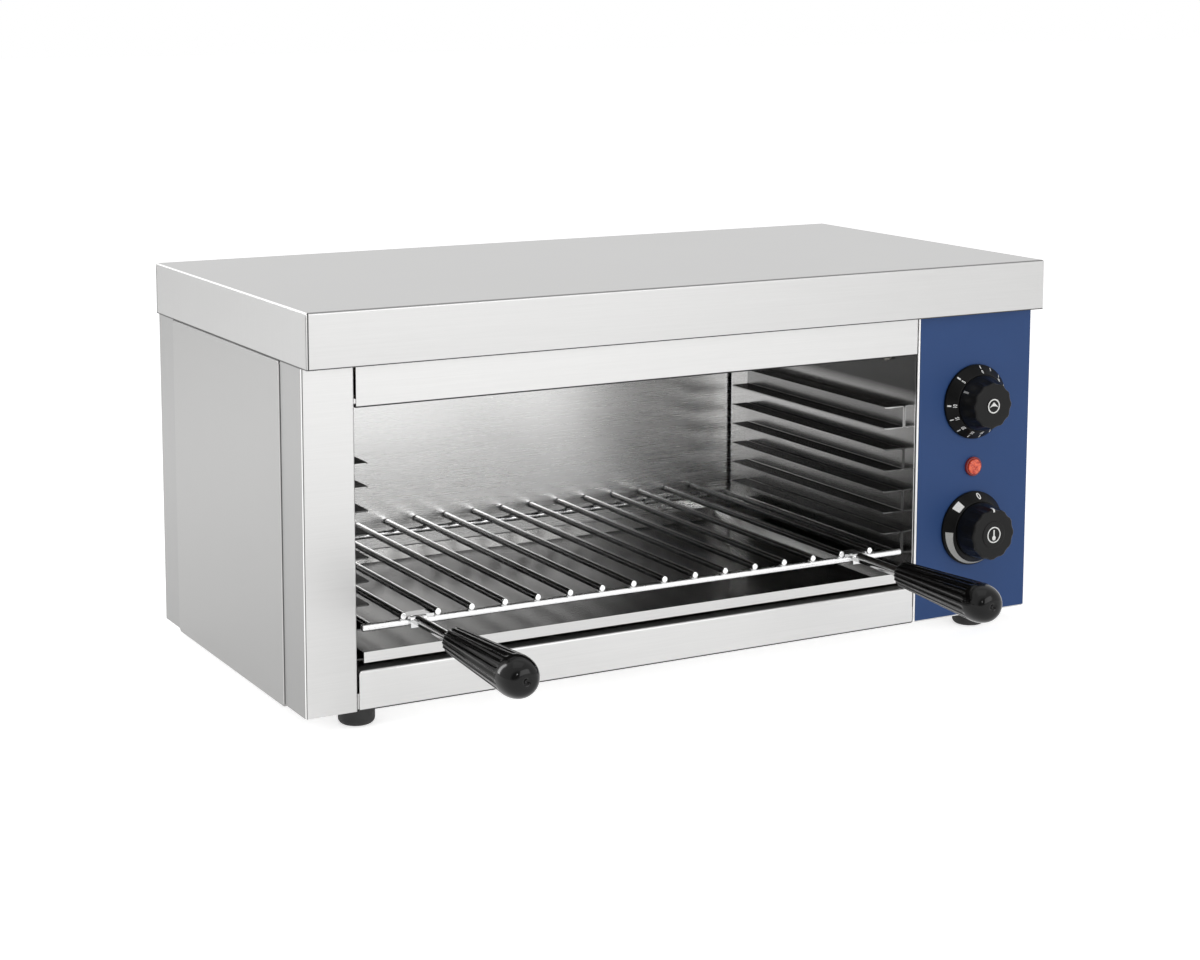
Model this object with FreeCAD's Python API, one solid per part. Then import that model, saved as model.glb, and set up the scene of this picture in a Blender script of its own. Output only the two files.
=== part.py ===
import FreeCAD, Part
import math
import os
from FreeCAD import Vector

# An open-fronted electric cheese melter for a counter, in millimetres.
# +X is to the right as a cook faces the front, +Y to the back, +Z up.
# The origin lies on the counter, in the middle of the machine's bounding box, so the feet stand on Z = 0.

# Shared sheet, gaps and cuts
CASE_SHEET = 0.8
INNER_SHEET = 0.8
FOLD_RADIUS = 0.7
FIT_GAP = 0.2
SLIDE_GAP = 0.3
WELD_GAP = 0.05
BORE_FIT = 0.1
OVERRUN = 5.0

# Whole machine
COVER_WIDTH = 610.0
COVER_DEPTH = 302.0
COVER_SKIRT = 38.4
FRONT_OVERHANG = 13.3
HANDLE_REACH = 145.0
FOOT_HEIGHT = 12.0

# Top cover
CORNER_SEAM = 0.7
COVER_FOLD = 1.0

# Front face
POST_WIDTH = 37.7
POST_RETURN = 37.3
POST_INNER_RETURN = 14.0
RAIL_GAP = 1.3
PANEL_GAP = 1.3
PANEL_WIDTH = 107.0
TOP_RAIL_VISIBLE = 30.1
LOWER_RAIL_HEIGHT = 27.7
RAIL_FLANGE = 12.0
RAIL_LIP = 8.0
RAIL_CORNER = 1.6

# Side and rear panels
REAR_RETURN = 34.2
SIDE_PANEL_DROP = 2.0
SIDE_PANEL_PAN = 8.0
SIDE_PANEL_CORNER = 3.0
SIDE_PANEL_FOLD = 1.5
PANEL_SEAM = 0.4
VENT_COUNT = 7
VENT_LENGTH = 46.0
VENT_HEIGHT = 3.6
VENT_PITCH = 10.0
VENT_DROP = 84.0

# Base plate
BASE_FLANGE = 12.0

# Chamber
WALL_REAR_GAP = 3.5
WALL_HEADROOM = 31.0
REAR_WALL_STAND_OFF = 20.5
REAR_WALL_MARGIN = 12.0
CEILING_SPACE = 55.0
REFLECTOR_CLEARANCE = 12.0
REFLECTOR_DROP = 8.0
REFLECTOR_SLOPE = 9.0
REFLECTOR_SHEET = 0.8
PAD_HEIGHT = 25.0
PAD_MARGIN = 6.0

# Runners
CHANNELS = 4
RUNNER_SHEET = 1.0
RUNNER_REACH = 17.0
RUNNER_SETBACK = 15.4
RUNNER_REAR_GAP = 27.3
RUNNER_FOLD = 0.8
RUNNER_TIP = 1.5
LEDGE_PITCH = 16.4

# Wire grate
WIRE_DIAMETER = 5.0
WIRE_PITCH = 25.87
WIRE_SIDE_MARGIN = 23.0
WIRE_FRONT_END = 2.8
WIRE_REAR_END = 15.5
WIRE_ROUND = 0.8
FRAME_DIAMETER = 5.0
GRATE_SETBACK = 7.5
GRATE_REAR_GAP = 1.0
GRATE_CLEARANCE = 13.2
FRONT_CROSSBAR_GAP = 7.35
REAR_CROSSBAR_GAP = 12.15
CROSSBAR_ROUND = 1.0
SIDE_ROD_GAP = 14.15

# Grate handles
HANDLE_OFFSET = 2.41
HANDLE_DIAMETER = 7.5
HANDLE_DROP = 3.5
BRACKET_SHEET = 2.0
BRACKET_SIDE_GAP = 0.435
BRACKET_DEPTH = 13.0
BRACKET_FOLD = 0.6
TAB_WIDTH = 12.0
TAB_HEIGHT = 8.0

# Grips
GRIP_LENGTH = 105.5
GRIP_NECK_DIAMETER = 19.0
GRIP_END_DIAMETER = 28.5
GRIP_DOME = 17.0
GRIP_DOME_STEPS = 10
GRIP_BORE_DEPTH = 32.0
GRIP_DIMPLE_DIAMETER = 7.0
GRIP_DIMPLE_DEPTH = 2.0
GRIP_RIM_DIAMETER = 20.0
FLUTE_COUNT = 18
FLUTE_DEPTH = 0.6
FLUTE_DIAMETER = 4.0

# Drip tray and its rails
TRAY_SIDE_GAP = 7.55
TRAY_REAR_GAP = 1.5
TRAY_CLEARANCE = 4.2
TRAY_HEIGHT = 7.4
TRAY_SHEET = 0.8
TRAY_SETBACK = 4.0
TRAY_RIM = 9.0
TRAY_SIDE_SLOPE = 3.0
TRAY_REAR_SLOPE = 12.0
TRAY_RAIL_REACH = 34.0
TRAY_RAIL_HEIGHT = 18.0
TRAY_RAIL_SHEET = 1.0

# Heating elements
ELEMENT_DIAMETER = 8.0
ELEMENT_CLEARANCE = 42.7
ELEMENT_LEGS = 4
ELEMENT_SIDE_MARGIN = 34.0
ELEMENT_FRONT_MARGIN = 36.0
ELEMENT_REAR_MARGIN = 33.7
ELEMENT_GAP = 34.0
BUSHING_DIAMETER = 12.0
BUSHING_LENGTH = 24.0
BUSHING_NUT = 17.0
BUSHING_NUT_HEIGHT = 4.0
TERMINAL_DIAMETER = 9.0
TERMINAL_LENGTH = 14.0
TERMINAL_PIN_DIAMETER = 3.0
TERMINAL_PIN_LENGTH = 12.0
HANGER_STRIP = 12.0
HANGER_SHEET = 1.2
HANGER_SPACING = 230.0
HANGER_MARGIN = 5.0

# Control fascia
FASCIA_SHEET = 0.4
FASCIA_EDGE = 1.5
FASCIA_LIP = 1.0
CONTROL_MARGIN = 40.0
LAMP_LOWER_GAP = 12.1
LAMP_UPPER_GAP = 14.6

# Knobs
SKIRT_DIAMETER = 58.0
SKIRT_TOP_DIAMETER = 45.0
SKIRT_RIM = 1.8
SKIRT_RISE = 7.0
SKIRT_WALL = 1.6
SKIRT_EDGE = 0.6
SKIRT_STAND_OFF = 0.5
KNOB_LOBES = 8
KNOB_LOBE_DEPTH = 1.6
KNOB_LOBE_DIAMETER = 14.0
KNOB_LOBE_START = 0.4
KNOB_BASE_DIAMETER = 43.0
KNOB_EDGE = 1.6
KNOB_BORE_DEPTH = 9.0
TIMER_KNOB_FACE = 36.0
TIMER_KNOB_HEIGHT = 24.0
TIMER_BOSS = 12.5
THERMOSTAT_KNOB_FACE = 40.0
THERMOSTAT_KNOB_HEIGHT = 28.0
THERMOSTAT_BOSS = 21.0
BOSS_RISE = 0.5
SPINDLE_DIAMETER = 6.0
SPINDLE_FLAT = 1.4
SPINDLE_INNER_LENGTH = 12.0
NECK_DIAMETER = 11.0
NECK_CLEARANCE = 0.5

# Timer, thermostat and pilot lamp behind the panel
TIMER_BODY_DIAMETER = 50.0
TIMER_BODY_LENGTH = 38.0
THERMOSTAT_BODY_WIDTH = 38.0
THERMOSTAT_BODY_HEIGHT = 44.0
THERMOSTAT_BODY_LENGTH = 30.0
BULB_DIAMETER = 6.0
BULB_LENGTH = 70.0
CAPILLARY_DIAMETER = 2.0
CAPILLARY_BEND = 8.0
LAMP_BEZEL_DIAMETER = 15.0
LAMP_BEZEL_HEIGHT = 2.2
LAMP_BARREL_DIAMETER = 12.0
LAMP_BARREL_LENGTH = 22.0
LAMP_LENS_DIAMETER = 11.6
LAMP_BEZEL_ROUND = 0.7
LAMP_LENS_SEAT = 1.4
LAMP_LENS_RISE = 1.6
LAMP_LENS_ROUND = 0.8

# Mains connection
TERMINAL_BLOCK_WIDTH = 54.0
TERMINAL_BLOCK_DEPTH = 22.0
TERMINAL_BLOCK_HEIGHT = 16.0
TERMINAL_BLOCK_STAND_OFF = 61.7
TERMINAL_BLOCK_WAYS = 5
TERMINAL_BLOCK_HOLE = 5.0
GLAND_HEIGHT = 48.0
GLAND_BORE_DIAMETER = 10.0
GLAND_THREAD_DIAMETER = 20.0
GLAND_THREAD_LENGTH = 12.0
GLAND_HEX = 24.0
GLAND_HEX_LENGTH = 6.0
GLAND_CAP_DIAMETER = 22.0
GLAND_CAP_LENGTH = 12.0
GLAND_CAP_ROUND = 3.0
GLAND_NUT_HEIGHT = 5.0
EARTH_STUD_DIAMETER = 5.0
EARTH_STUD_LENGTH = 18.0
EARTH_STUD_OFFSET = 30.0
EARTH_STUD_INSET = 20.0
LOOM_WIRE_DIAMETER = 3.0
LOOM_WIRE_BEND = 15.0
LOOM_LEAD_BEND = 5.0

# Feet and fasteners
FOOT_DIAMETER = 25.5
FOOT_SIDE_INSET = 42.5
FOOT_END_INSET = 14.3
FOOT_ROUND = 4.0
FOOT_SCREW_DIAMETER = 5.0
FOOT_SCREW_HEAD = 9.5
FOOT_SCREW_HEAD_HEIGHT = 3.0
FOOT_RECESS = 5.2
NUT_ACROSS = 8.0
NUT_HEIGHT = 4.0
CASE_SCREW_DIAMETER = 4.0
CASE_SCREW_HEAD = 7.6
CASE_SCREW_HEAD_HEIGHT = 2.2
CASE_SCREW_LENGTH = 7.0
CASE_SCREW_ROUND = 0.8
CASE_SCREW_SLOT = 0.9
CASE_SCREW_SLOT_DEPTH = 1.0
CASE_SCREW_HOLE_FIT = 0.2
BASE_SCREW_RISE = 6.0
REAR_SCREW_INSET = 42.0
COVER_SCREW_DROP = 19.0

# Heights, stacked up from the counter
BODY_STEP = CASE_SHEET + FIT_GAP
BODY_BOTTOM = FOOT_HEIGHT
BASE_TOP = BODY_BOTTOM + CASE_SHEET
OPENING_BOTTOM = BODY_BOTTOM + LOWER_RAIL_HEIGHT
TRAY_BOTTOM = OPENING_BOTTOM + TRAY_CLEARANCE
TRAY_TOP = TRAY_BOTTOM + TRAY_HEIGHT
TRAY_RAIL_TOP = TRAY_BOTTOM - SLIDE_GAP
LEDGES = 2 * CHANNELS
LOWEST_LEDGE = TRAY_TOP + GRATE_CLEARANCE
HIGHEST_LEDGE = LOWEST_LEDGE + (LEDGES - 1) * LEDGE_PITCH
ELEMENT_HEIGHT = HIGHEST_LEDGE + ELEMENT_CLEARANCE
REFLECTOR_HEIGHT = ELEMENT_HEIGHT + REFLECTOR_CLEARANCE
TOTAL_HEIGHT = REFLECTOR_HEIGHT + CEILING_SPACE
COVER_BOTTOM = TOTAL_HEIGHT - COVER_SKIRT
BODY_TOP = TOTAL_HEIGHT - BODY_STEP - COVER_FOLD
RAIL_TOP = TOTAL_HEIGHT - BODY_STEP
OPENING_TOP = COVER_BOTTOM - TOP_RAIL_VISIBLE
WALL_TOP = TOTAL_HEIGHT - WALL_HEADROOM
VENT_TOP = TOTAL_HEIGHT - VENT_DROP
THERMOSTAT_HEIGHT = BODY_BOTTOM + CONTROL_MARGIN + SKIRT_DIAMETER / 2
LAMP_HEIGHT = THERMOSTAT_HEIGHT + (SKIRT_DIAMETER + LAMP_BEZEL_DIAMETER) / 2 + LAMP_LOWER_GAP
TIMER_HEIGHT = LAMP_HEIGHT + (SKIRT_DIAMETER + LAMP_BEZEL_DIAMETER) / 2 + LAMP_UPPER_GAP

# Planes of the machine
GLAND_REACH = GLAND_HEX_LENGTH + GLAND_CAP_LENGTH - BODY_STEP
TOTAL_DEPTH = HANDLE_REACH + COVER_DEPTH + GLAND_REACH
COVER_LEFT = -COVER_WIDTH / 2
COVER_RIGHT = COVER_WIDTH / 2
COVER_FRONT = HANDLE_REACH - TOTAL_DEPTH / 2
COVER_REAR = COVER_FRONT + COVER_DEPTH
BODY_LEFT = COVER_LEFT + BODY_STEP
BODY_RIGHT = COVER_RIGHT - BODY_STEP
BODY_FRONT = COVER_FRONT + FRONT_OVERHANG
BODY_REAR = COVER_REAR - BODY_STEP
BEHIND_FRONT = BODY_FRONT + CASE_SHEET + FIT_GAP
BEFORE_REAR = BODY_REAR - CASE_SHEET - FIT_GAP

POST_EDGE = BODY_LEFT + POST_WIDTH
PANEL_EDGE = BODY_RIGHT - PANEL_WIDTH
RAIL_LEFT = POST_EDGE + RAIL_GAP
RAIL_RIGHT = PANEL_EDGE - PANEL_GAP
SIDE_PANEL_FRONT = BODY_FRONT + POST_RETURN + PANEL_SEAM
SIDE_PANEL_REAR = BODY_REAR - REAR_RETURN - PANEL_SEAM

WALL_LEFT = POST_EDGE - CASE_SHEET - FIT_GAP
WALL_RIGHT = PANEL_EDGE - FIT_GAP - INNER_SHEET
CHAMBER_X = (WALL_LEFT + WALL_RIGHT) / 2
CHAMBER_HALF = (WALL_RIGHT - WALL_LEFT) / 2
REAR_WALL_Y = BODY_REAR - REAR_WALL_STAND_OFF
WALL_REAR = REAR_WALL_Y - WALL_REAR_GAP
CEILING_FRONT = BODY_FRONT + POST_INNER_RETURN + REFLECTOR_SHEET + SLIDE_GAP
CEILING_REAR = WALL_REAR

RUNNER_FRONT = BODY_FRONT + RUNNER_SETBACK
RUNNER_REAR = WALL_REAR - RUNNER_REAR_GAP
RUNNER_LENGTH = RUNNER_REAR - RUNNER_FRONT
RUNNER_ROOT = WALL_LEFT + FIT_GAP

FRAME_HEIGHT = LOWEST_LEDGE + SLIDE_GAP + FRAME_DIAMETER / 2
WIRE_HEIGHT = FRAME_HEIGHT + (FRAME_DIAMETER + WIRE_DIAMETER) / 2 + WELD_GAP
SIDE_ROD_REACH = CHAMBER_HALF - SIDE_ROD_GAP
WIRE_STEPS = int(2 * (SIDE_ROD_REACH - WIRE_SIDE_MARGIN) / WIRE_PITCH)
WIRE_REACH = WIRE_STEPS * WIRE_PITCH / 2
BRACKET_X = WIRE_REACH - WIRE_PITCH / 2
BRACKET_WIDTH = WIRE_PITCH - WIRE_DIAMETER - 2 * BRACKET_SIDE_GAP
HANDLE_X = BRACKET_X + HANDLE_OFFSET
CROSSBAR_FRONT = BODY_FRONT + GRATE_SETBACK
CROSSBAR_REAR = REAR_WALL_Y - GRATE_REAR_GAP - WIRE_REAR_END
PLATE_BOTTOM = FRAME_HEIGHT + FRAME_DIAMETER / 2 + WELD_GAP
PLATE_TOP = PLATE_BOTTOM + BRACKET_SHEET
TAB_FRONT = CROSSBAR_FRONT - FRAME_DIAMETER / 2 - WELD_GAP - BRACKET_SHEET
HANDLE_HEIGHT = PLATE_TOP - HANDLE_DROP
GRIP_TIP = COVER_FRONT - HANDLE_REACH
GRIP_START = GRIP_TIP + GRIP_LENGTH

TRAY_FRONT = BODY_FRONT + TRAY_SETBACK
TRAY_REAR = REAR_WALL_Y - TRAY_REAR_GAP
TRAY_LEFT = WALL_LEFT + TRAY_SIDE_GAP
TRAY_RIGHT = WALL_RIGHT - TRAY_SIDE_GAP

ELEMENT_FRONT = BODY_FRONT + ELEMENT_FRONT_MARGIN
ELEMENT_REAR = WALL_REAR - ELEMENT_REAR_MARGIN
ELEMENT_SPAN = (ELEMENT_REAR - ELEMENT_FRONT - ELEMENT_GAP) / 2
ELEMENT_LEG_PITCH = ELEMENT_SPAN / (ELEMENT_LEGS - 1)
REAR_ELEMENT_FRONT = ELEMENT_FRONT + ELEMENT_SPAN + ELEMENT_GAP

DIAL_X = (PANEL_EDGE + BODY_RIGHT) / 2
TERMINAL_BLOCK_FRONT = BODY_REAR - TERMINAL_BLOCK_STAND_OFF
FASCIA_FRONT = BODY_FRONT - FASCIA_SHEET
PANEL_BACK = BODY_FRONT + CASE_SHEET
SKIRT_BACK = FASCIA_FRONT - SKIRT_STAND_OFF
SKIRT_TOP = SKIRT_BACK - SKIRT_RIM - SKIRT_RISE
KNOB_BACK = SKIRT_TOP - WELD_GAP
BULB_Y = (ELEMENT_FRONT + ELEMENT_REAR) / 2
BULB_Z = REFLECTOR_HEIGHT - BULB_DIAMETER / 2 - FIT_GAP

LEFTWARD = Vector(-1, 0, 0)
RIGHTWARD = Vector(1, 0, 0)
FRONTWARD = Vector(0, -1, 0)
BACKWARD = Vector(0, 1, 0)
UPWARD = Vector(0, 0, 1)
DOWNWARD = Vector(0, 0, -1)


# Shared shapes

def block(x_from, x_to, y_from, y_to, z_from, z_to):
    """A box between two corners."""
    corner = Vector(x_from, y_from, z_from)
    return Part.makeBox(x_to - x_from, y_to - y_from, z_to - z_from, corner)


def rod(start, end, diameter):
    """A round bar from one point to another."""
    run = end.sub(start)
    return Part.makeCylinder(diameter / 2, run.Length, start, run)


def hexagon(centre, axis, across_flats, height):
    """A hexagonal prism that starts at a centre and runs along an axis."""
    turn = FreeCAD.Rotation(UPWARD, axis)
    radius = across_flats / math.sqrt(3)
    corners = []
    for index in range(6):
        angle = math.radians(60 * index)
        arm = Vector(radius * math.cos(angle), radius * math.sin(angle), 0)
        corners.append(centre.add(turn.multVec(arm)))
    face = Part.Face(Part.makePolygon([*corners, corners[0]]))
    return face.extrude(axis * height)


def rounded_face(points, radii):
    """A flat face whose outline has an arc at each corner that is given a radius."""
    edges = []
    count = len(points)
    starts = []
    ends = []
    arcs = []
    for index, corner in enumerate(points):
        before = points[index - 1].sub(corner).normalize()
        after = points[(index + 1) % count].sub(corner).normalize()
        radius = radii[index]
        if radius <= 0:
            starts.append(corner)
            ends.append(corner)
            arcs.append(None)
            continue
        half = before.getAngle(after) / 2
        reach = radius / math.tan(half)
        middle = before.add(after).normalize()
        belly = radius / math.sin(half) - radius
        starts.append(corner.add(before * reach))
        ends.append(corner.add(after * reach))
        arcs.append(corner.add(middle * belly))
    for index in range(count):
        if arcs[index] is not None:
            edges.append(Part.Arc(starts[index], arcs[index], ends[index]).toShape())
        start = ends[index]
        end = starts[(index + 1) % count]
        edges.append(Part.LineSegment(start, end).toShape())
    return Part.Face(Part.Wire(edges))


def folded_sheet(path, sheet, bend, run, across):
    """A sheet of even thickness along a folded path, drawn out along a run.

    The path holds points in a plane square to the run. The sheet lies on the side of the path that
    "across" gives for the first leg.
    """
    count = len(path)
    legs = [path[index + 1].sub(path[index]).normalize() for index in range(count - 1)]
    spin = 1 if legs[0].cross(across).dot(run) > 0 else -1
    sides = [run.cross(leg).normalize() * spin for leg in legs]
    offset = [path[0].add(sides[0] * sheet)]
    path_radii = [0]
    offset_radii = [0]
    for index in range(1, count - 1):
        mitre = sides[index - 1].add(sides[index]).normalize()
        reach = sheet / mitre.dot(sides[index])
        offset.append(path[index].add(mitre * reach))
        turns_in = legs[index].dot(sides[index - 1]) > 0
        path_radii.append(bend + sheet if turns_in else bend)
        offset_radii.append(bend if turns_in else bend + sheet)
    offset.append(path[-1].add(sides[-1] * sheet))
    path_radii.append(0)
    offset_radii.append(0)
    outline = [*path, *reversed(offset)]
    radii = [*path_radii, *reversed(offset_radii)]
    return rounded_face(outline, radii).extrude(run)


def turned(profile, base, axis, out):
    """A solid of revolution from pairs of distance along the axis and distance from it."""
    points = [base.add(axis * along).add(out * away) for along, away in profile]
    face = Part.Face(Part.makePolygon([*points, points[0]]))
    return face.revolve(base, axis, 360)


def edges_where(shape, accept):
    """The straight and round edges whose middle point passes a test."""
    return [edge for edge in shape.Edges if accept(edge, edge.CenterOfMass)]


def near(value, target):
    """Whether two places are the same, within the width of a hair."""
    return abs(value - target) < WELD_GAP


def bent_rod(points, diameter, bend):
    """A round bar along straight runs that tangent arcs join."""
    edges = []
    start = points[0]
    for index in range(1, len(points) - 1):
        corner = points[index]
        before = points[index - 1].sub(corner).normalize()
        after = points[index + 1].sub(corner).normalize()
        half = before.getAngle(after) / 2
        reach = bend / math.tan(half)
        belly = bend / math.sin(half) - bend
        arc_start = corner.add(before * reach)
        arc_middle = corner.add(before.add(after).normalize() * belly)
        arc_end = corner.add(after * reach)
        if start.distanceToPoint(arc_start) > WELD_GAP:
            edges.append(Part.LineSegment(start, arc_start).toShape())
        edges.append(Part.Arc(arc_start, arc_middle, arc_end).toShape())
        start = arc_end
    edges.append(Part.LineSegment(start, points[-1]).toShape())
    spine = Part.Wire(edges)
    heading = points[1].sub(points[0])
    section = Part.Wire(Part.makeCircle(diameter / 2, points[0], heading))
    return spine.makePipeShell([section], True, False)


def mirrored(shape, x_plane):
    """The shape seen in a mirror that stands square to X."""
    return shape.mirror(Vector(x_plane, 0, 0), RIGHTWARD)


# Casing

def top_cover():
    """The folded cap: a top with a skirt on four sides, and seams where the skirts meet."""
    outer = block(COVER_LEFT, COVER_RIGHT, COVER_FRONT, COVER_REAR, COVER_BOTTOM, TOTAL_HEIGHT)
    outer_fold = COVER_FOLD + CASE_SHEET
    top_edges = edges_where(outer, lambda edge, middle: near(middle.z, TOTAL_HEIGHT))
    outer = outer.makeFillet(outer_fold, top_edges)
    inner_top = TOTAL_HEIGHT - CASE_SHEET
    inner = block(
        COVER_LEFT + CASE_SHEET,
        COVER_RIGHT - CASE_SHEET,
        COVER_FRONT + CASE_SHEET,
        COVER_REAR - CASE_SHEET,
        COVER_BOTTOM - OVERRUN,
        inner_top,
    )
    inner_edges = edges_where(inner, lambda edge, middle: near(middle.z, inner_top))
    cover = outer.cut(inner.makeFillet(COVER_FOLD, inner_edges))
    seam_top = TOTAL_HEIGHT - outer_fold - CORNER_SEAM
    for side in (COVER_LEFT, COVER_RIGHT):
        inward = 1 if side < 0 else -1
        x_pair = sorted((side - inward * OVERRUN, side + inward * (CASE_SHEET + FIT_GAP)))
        front_seam = COVER_FRONT + CASE_SHEET
        rear_seam = COVER_REAR - CASE_SHEET - CORNER_SEAM
        for y_from in (front_seam, rear_seam):
            seam = block(*x_pair, y_from, y_from + CORNER_SEAM, COVER_BOTTOM - OVERRUN, seam_top)
            cover = cover.cut(seam)
    soffit = block(
        COVER_LEFT + CASE_SHEET + CORNER_SEAM,
        COVER_RIGHT - CASE_SHEET - CORNER_SEAM,
        COVER_FRONT,
        BODY_FRONT - FIT_GAP,
        COVER_BOTTOM,
        COVER_BOTTOM + CASE_SHEET,
    )
    cover = cover.fuse(soffit).removeSplitter()
    for x in cover_screw_places():
        cover = cover.cut(screw_hole(x, COVER_REAR, TOTAL_HEIGHT - COVER_SCREW_DROP))
    return cover


def left_side_panel():
    """A shallow pan with rounded edges that stands slightly proud of the strips beside it."""
    bottom = BODY_BOTTOM - SIDE_PANEL_DROP
    top = COVER_BOTTOM - PANEL_SEAM
    inner_x = COVER_LEFT + SIDE_PANEL_PAN
    middle_y = (SIDE_PANEL_FRONT + SIDE_PANEL_REAR) / 2
    middle_z = (bottom + top) / 2
    pan = block(COVER_LEFT, inner_x, SIDE_PANEL_FRONT, SIDE_PANEL_REAR, bottom, top)
    corners = edges_where(
        pan,
        lambda edge, middle: not near(middle.y, middle_y) and not near(middle.z, middle_z),
    )
    pan = pan.makeFillet(SIDE_PANEL_CORNER, corners)
    face_edges = edges_where(pan, lambda edge, middle: near(middle.x, COVER_LEFT))
    pan = pan.makeFillet(SIDE_PANEL_FOLD, face_edges)
    hollow = block(
        COVER_LEFT + CASE_SHEET,
        inner_x + OVERRUN,
        SIDE_PANEL_FRONT + CASE_SHEET,
        SIDE_PANEL_REAR - CASE_SHEET,
        bottom + CASE_SHEET,
        top - CASE_SHEET,
    )
    hollow_corners = edges_where(
        hollow,
        lambda edge, middle: not near(middle.y, middle_y) and not near(middle.z, middle_z),
    )
    hollow = hollow.makeFillet(SIDE_PANEL_CORNER - CASE_SHEET, hollow_corners)
    hollow_face = edges_where(hollow, lambda edge, middle: near(middle.x, COVER_LEFT + CASE_SHEET))
    hollow = hollow.makeFillet(SIDE_PANEL_FOLD - CASE_SHEET, hollow_face)
    return pan.cut(hollow)


def left_front_post():
    """The strip beside the opening, folded back round the corner and into the opening."""
    path = [
        Vector(BODY_LEFT, BODY_FRONT + POST_RETURN, BODY_BOTTOM),
        Vector(BODY_LEFT, BODY_FRONT, BODY_BOTTOM),
        Vector(POST_EDGE, BODY_FRONT, BODY_BOTTOM),
        Vector(POST_EDGE, BODY_FRONT + POST_INNER_RETURN, BODY_BOTTOM),
    ]
    height = UPWARD * (BODY_TOP - BODY_BOTTOM)
    return folded_sheet(path, CASE_SHEET, FOLD_RADIUS, height, RIGHTWARD)


def top_front_rail():
    """The strip over the opening, with a flange back from each long edge."""
    flange = BODY_FRONT + RAIL_FLANGE
    path = [
        Vector(RAIL_LEFT, flange, OPENING_TOP),
        Vector(RAIL_LEFT, BODY_FRONT, OPENING_TOP),
        Vector(RAIL_LEFT, BODY_FRONT, RAIL_TOP),
        Vector(RAIL_LEFT, flange, RAIL_TOP),
    ]
    return folded_sheet(path, CASE_SHEET, FOLD_RADIUS, RIGHTWARD * (RAIL_RIGHT - RAIL_LEFT), UPWARD)


def lower_front_rail():
    """The strip under the opening, with a flange back from its top and a lip down behind."""
    flange = BODY_FRONT + RAIL_FLANGE
    path = [
        Vector(RAIL_LEFT, BODY_FRONT, BODY_BOTTOM),
        Vector(RAIL_LEFT, BODY_FRONT, OPENING_BOTTOM),
        Vector(RAIL_LEFT, flange, OPENING_BOTTOM),
        Vector(RAIL_LEFT, flange, OPENING_BOTTOM - RAIL_LIP),
    ]
    rail = folded_sheet(path, CASE_SHEET, FOLD_RADIUS, RIGHTWARD * (RAIL_RIGHT - RAIL_LEFT), BACKWARD)
    for x, inward in ((RAIL_LEFT, 1), (RAIL_RIGHT, -1)):
        corner = Vector(x, BODY_FRONT - OVERRUN, OPENING_BOTTOM)
        depth = BACKWARD * (2 * OVERRUN + RAIL_FLANGE)
        across = corner.add(RIGHTWARD * (inward * RAIL_CORNER))
        down = corner.add(DOWNWARD * RAIL_CORNER)
        rail = rail.cut(Part.Face(Part.makePolygon([corner, across, down, corner])).extrude(depth))
    return rail


def control_panel():
    """The steel panel that carries the controls, folded back at both sides and at its bottom."""
    path = [
        Vector(PANEL_EDGE, BODY_FRONT + POST_INNER_RETURN, BODY_BOTTOM),
        Vector(PANEL_EDGE, BODY_FRONT, BODY_BOTTOM),
        Vector(BODY_RIGHT, BODY_FRONT, BODY_BOTTOM),
        Vector(BODY_RIGHT, BODY_FRONT + POST_RETURN, BODY_BOTTOM),
    ]
    height = UPWARD * (BODY_TOP - BODY_BOTTOM)
    panel = folded_sheet(path, CASE_SHEET, FOLD_RADIUS, height, RIGHTWARD)
    for z, diameter in panel_holes():
        panel = panel.cut(front_hole(z, diameter))
    return panel


def control_fascia():
    """The printed sheet on the control panel. Its edges leave a bright line of steel."""
    sheet = block(
        PANEL_EDGE + FASCIA_EDGE,
        BODY_RIGHT - FIT_GAP,
        FASCIA_FRONT,
        BODY_FRONT,
        BODY_BOTTOM + FASCIA_LIP,
        COVER_BOTTOM - FIT_GAP,
    )
    for z, diameter in panel_holes():
        sheet = sheet.cut(front_hole(z, diameter))
    return sheet


def panel_holes():
    """The height and diameter of each hole through the control panel."""
    neck_hole = NECK_DIAMETER + NECK_CLEARANCE
    lamp_hole = LAMP_BARREL_DIAMETER + NECK_CLEARANCE
    return ((TIMER_HEIGHT, neck_hole), (LAMP_HEIGHT, lamp_hole), (THERMOSTAT_HEIGHT, neck_hole))


def front_hole(z, diameter):
    """A cutter that goes straight through the control panel."""
    start = Vector(DIAL_X, FASCIA_FRONT - OVERRUN, z)
    return rod(start, start.add(BACKWARD * (2 * OVERRUN + FASCIA_SHEET + CASE_SHEET)), diameter)


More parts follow.
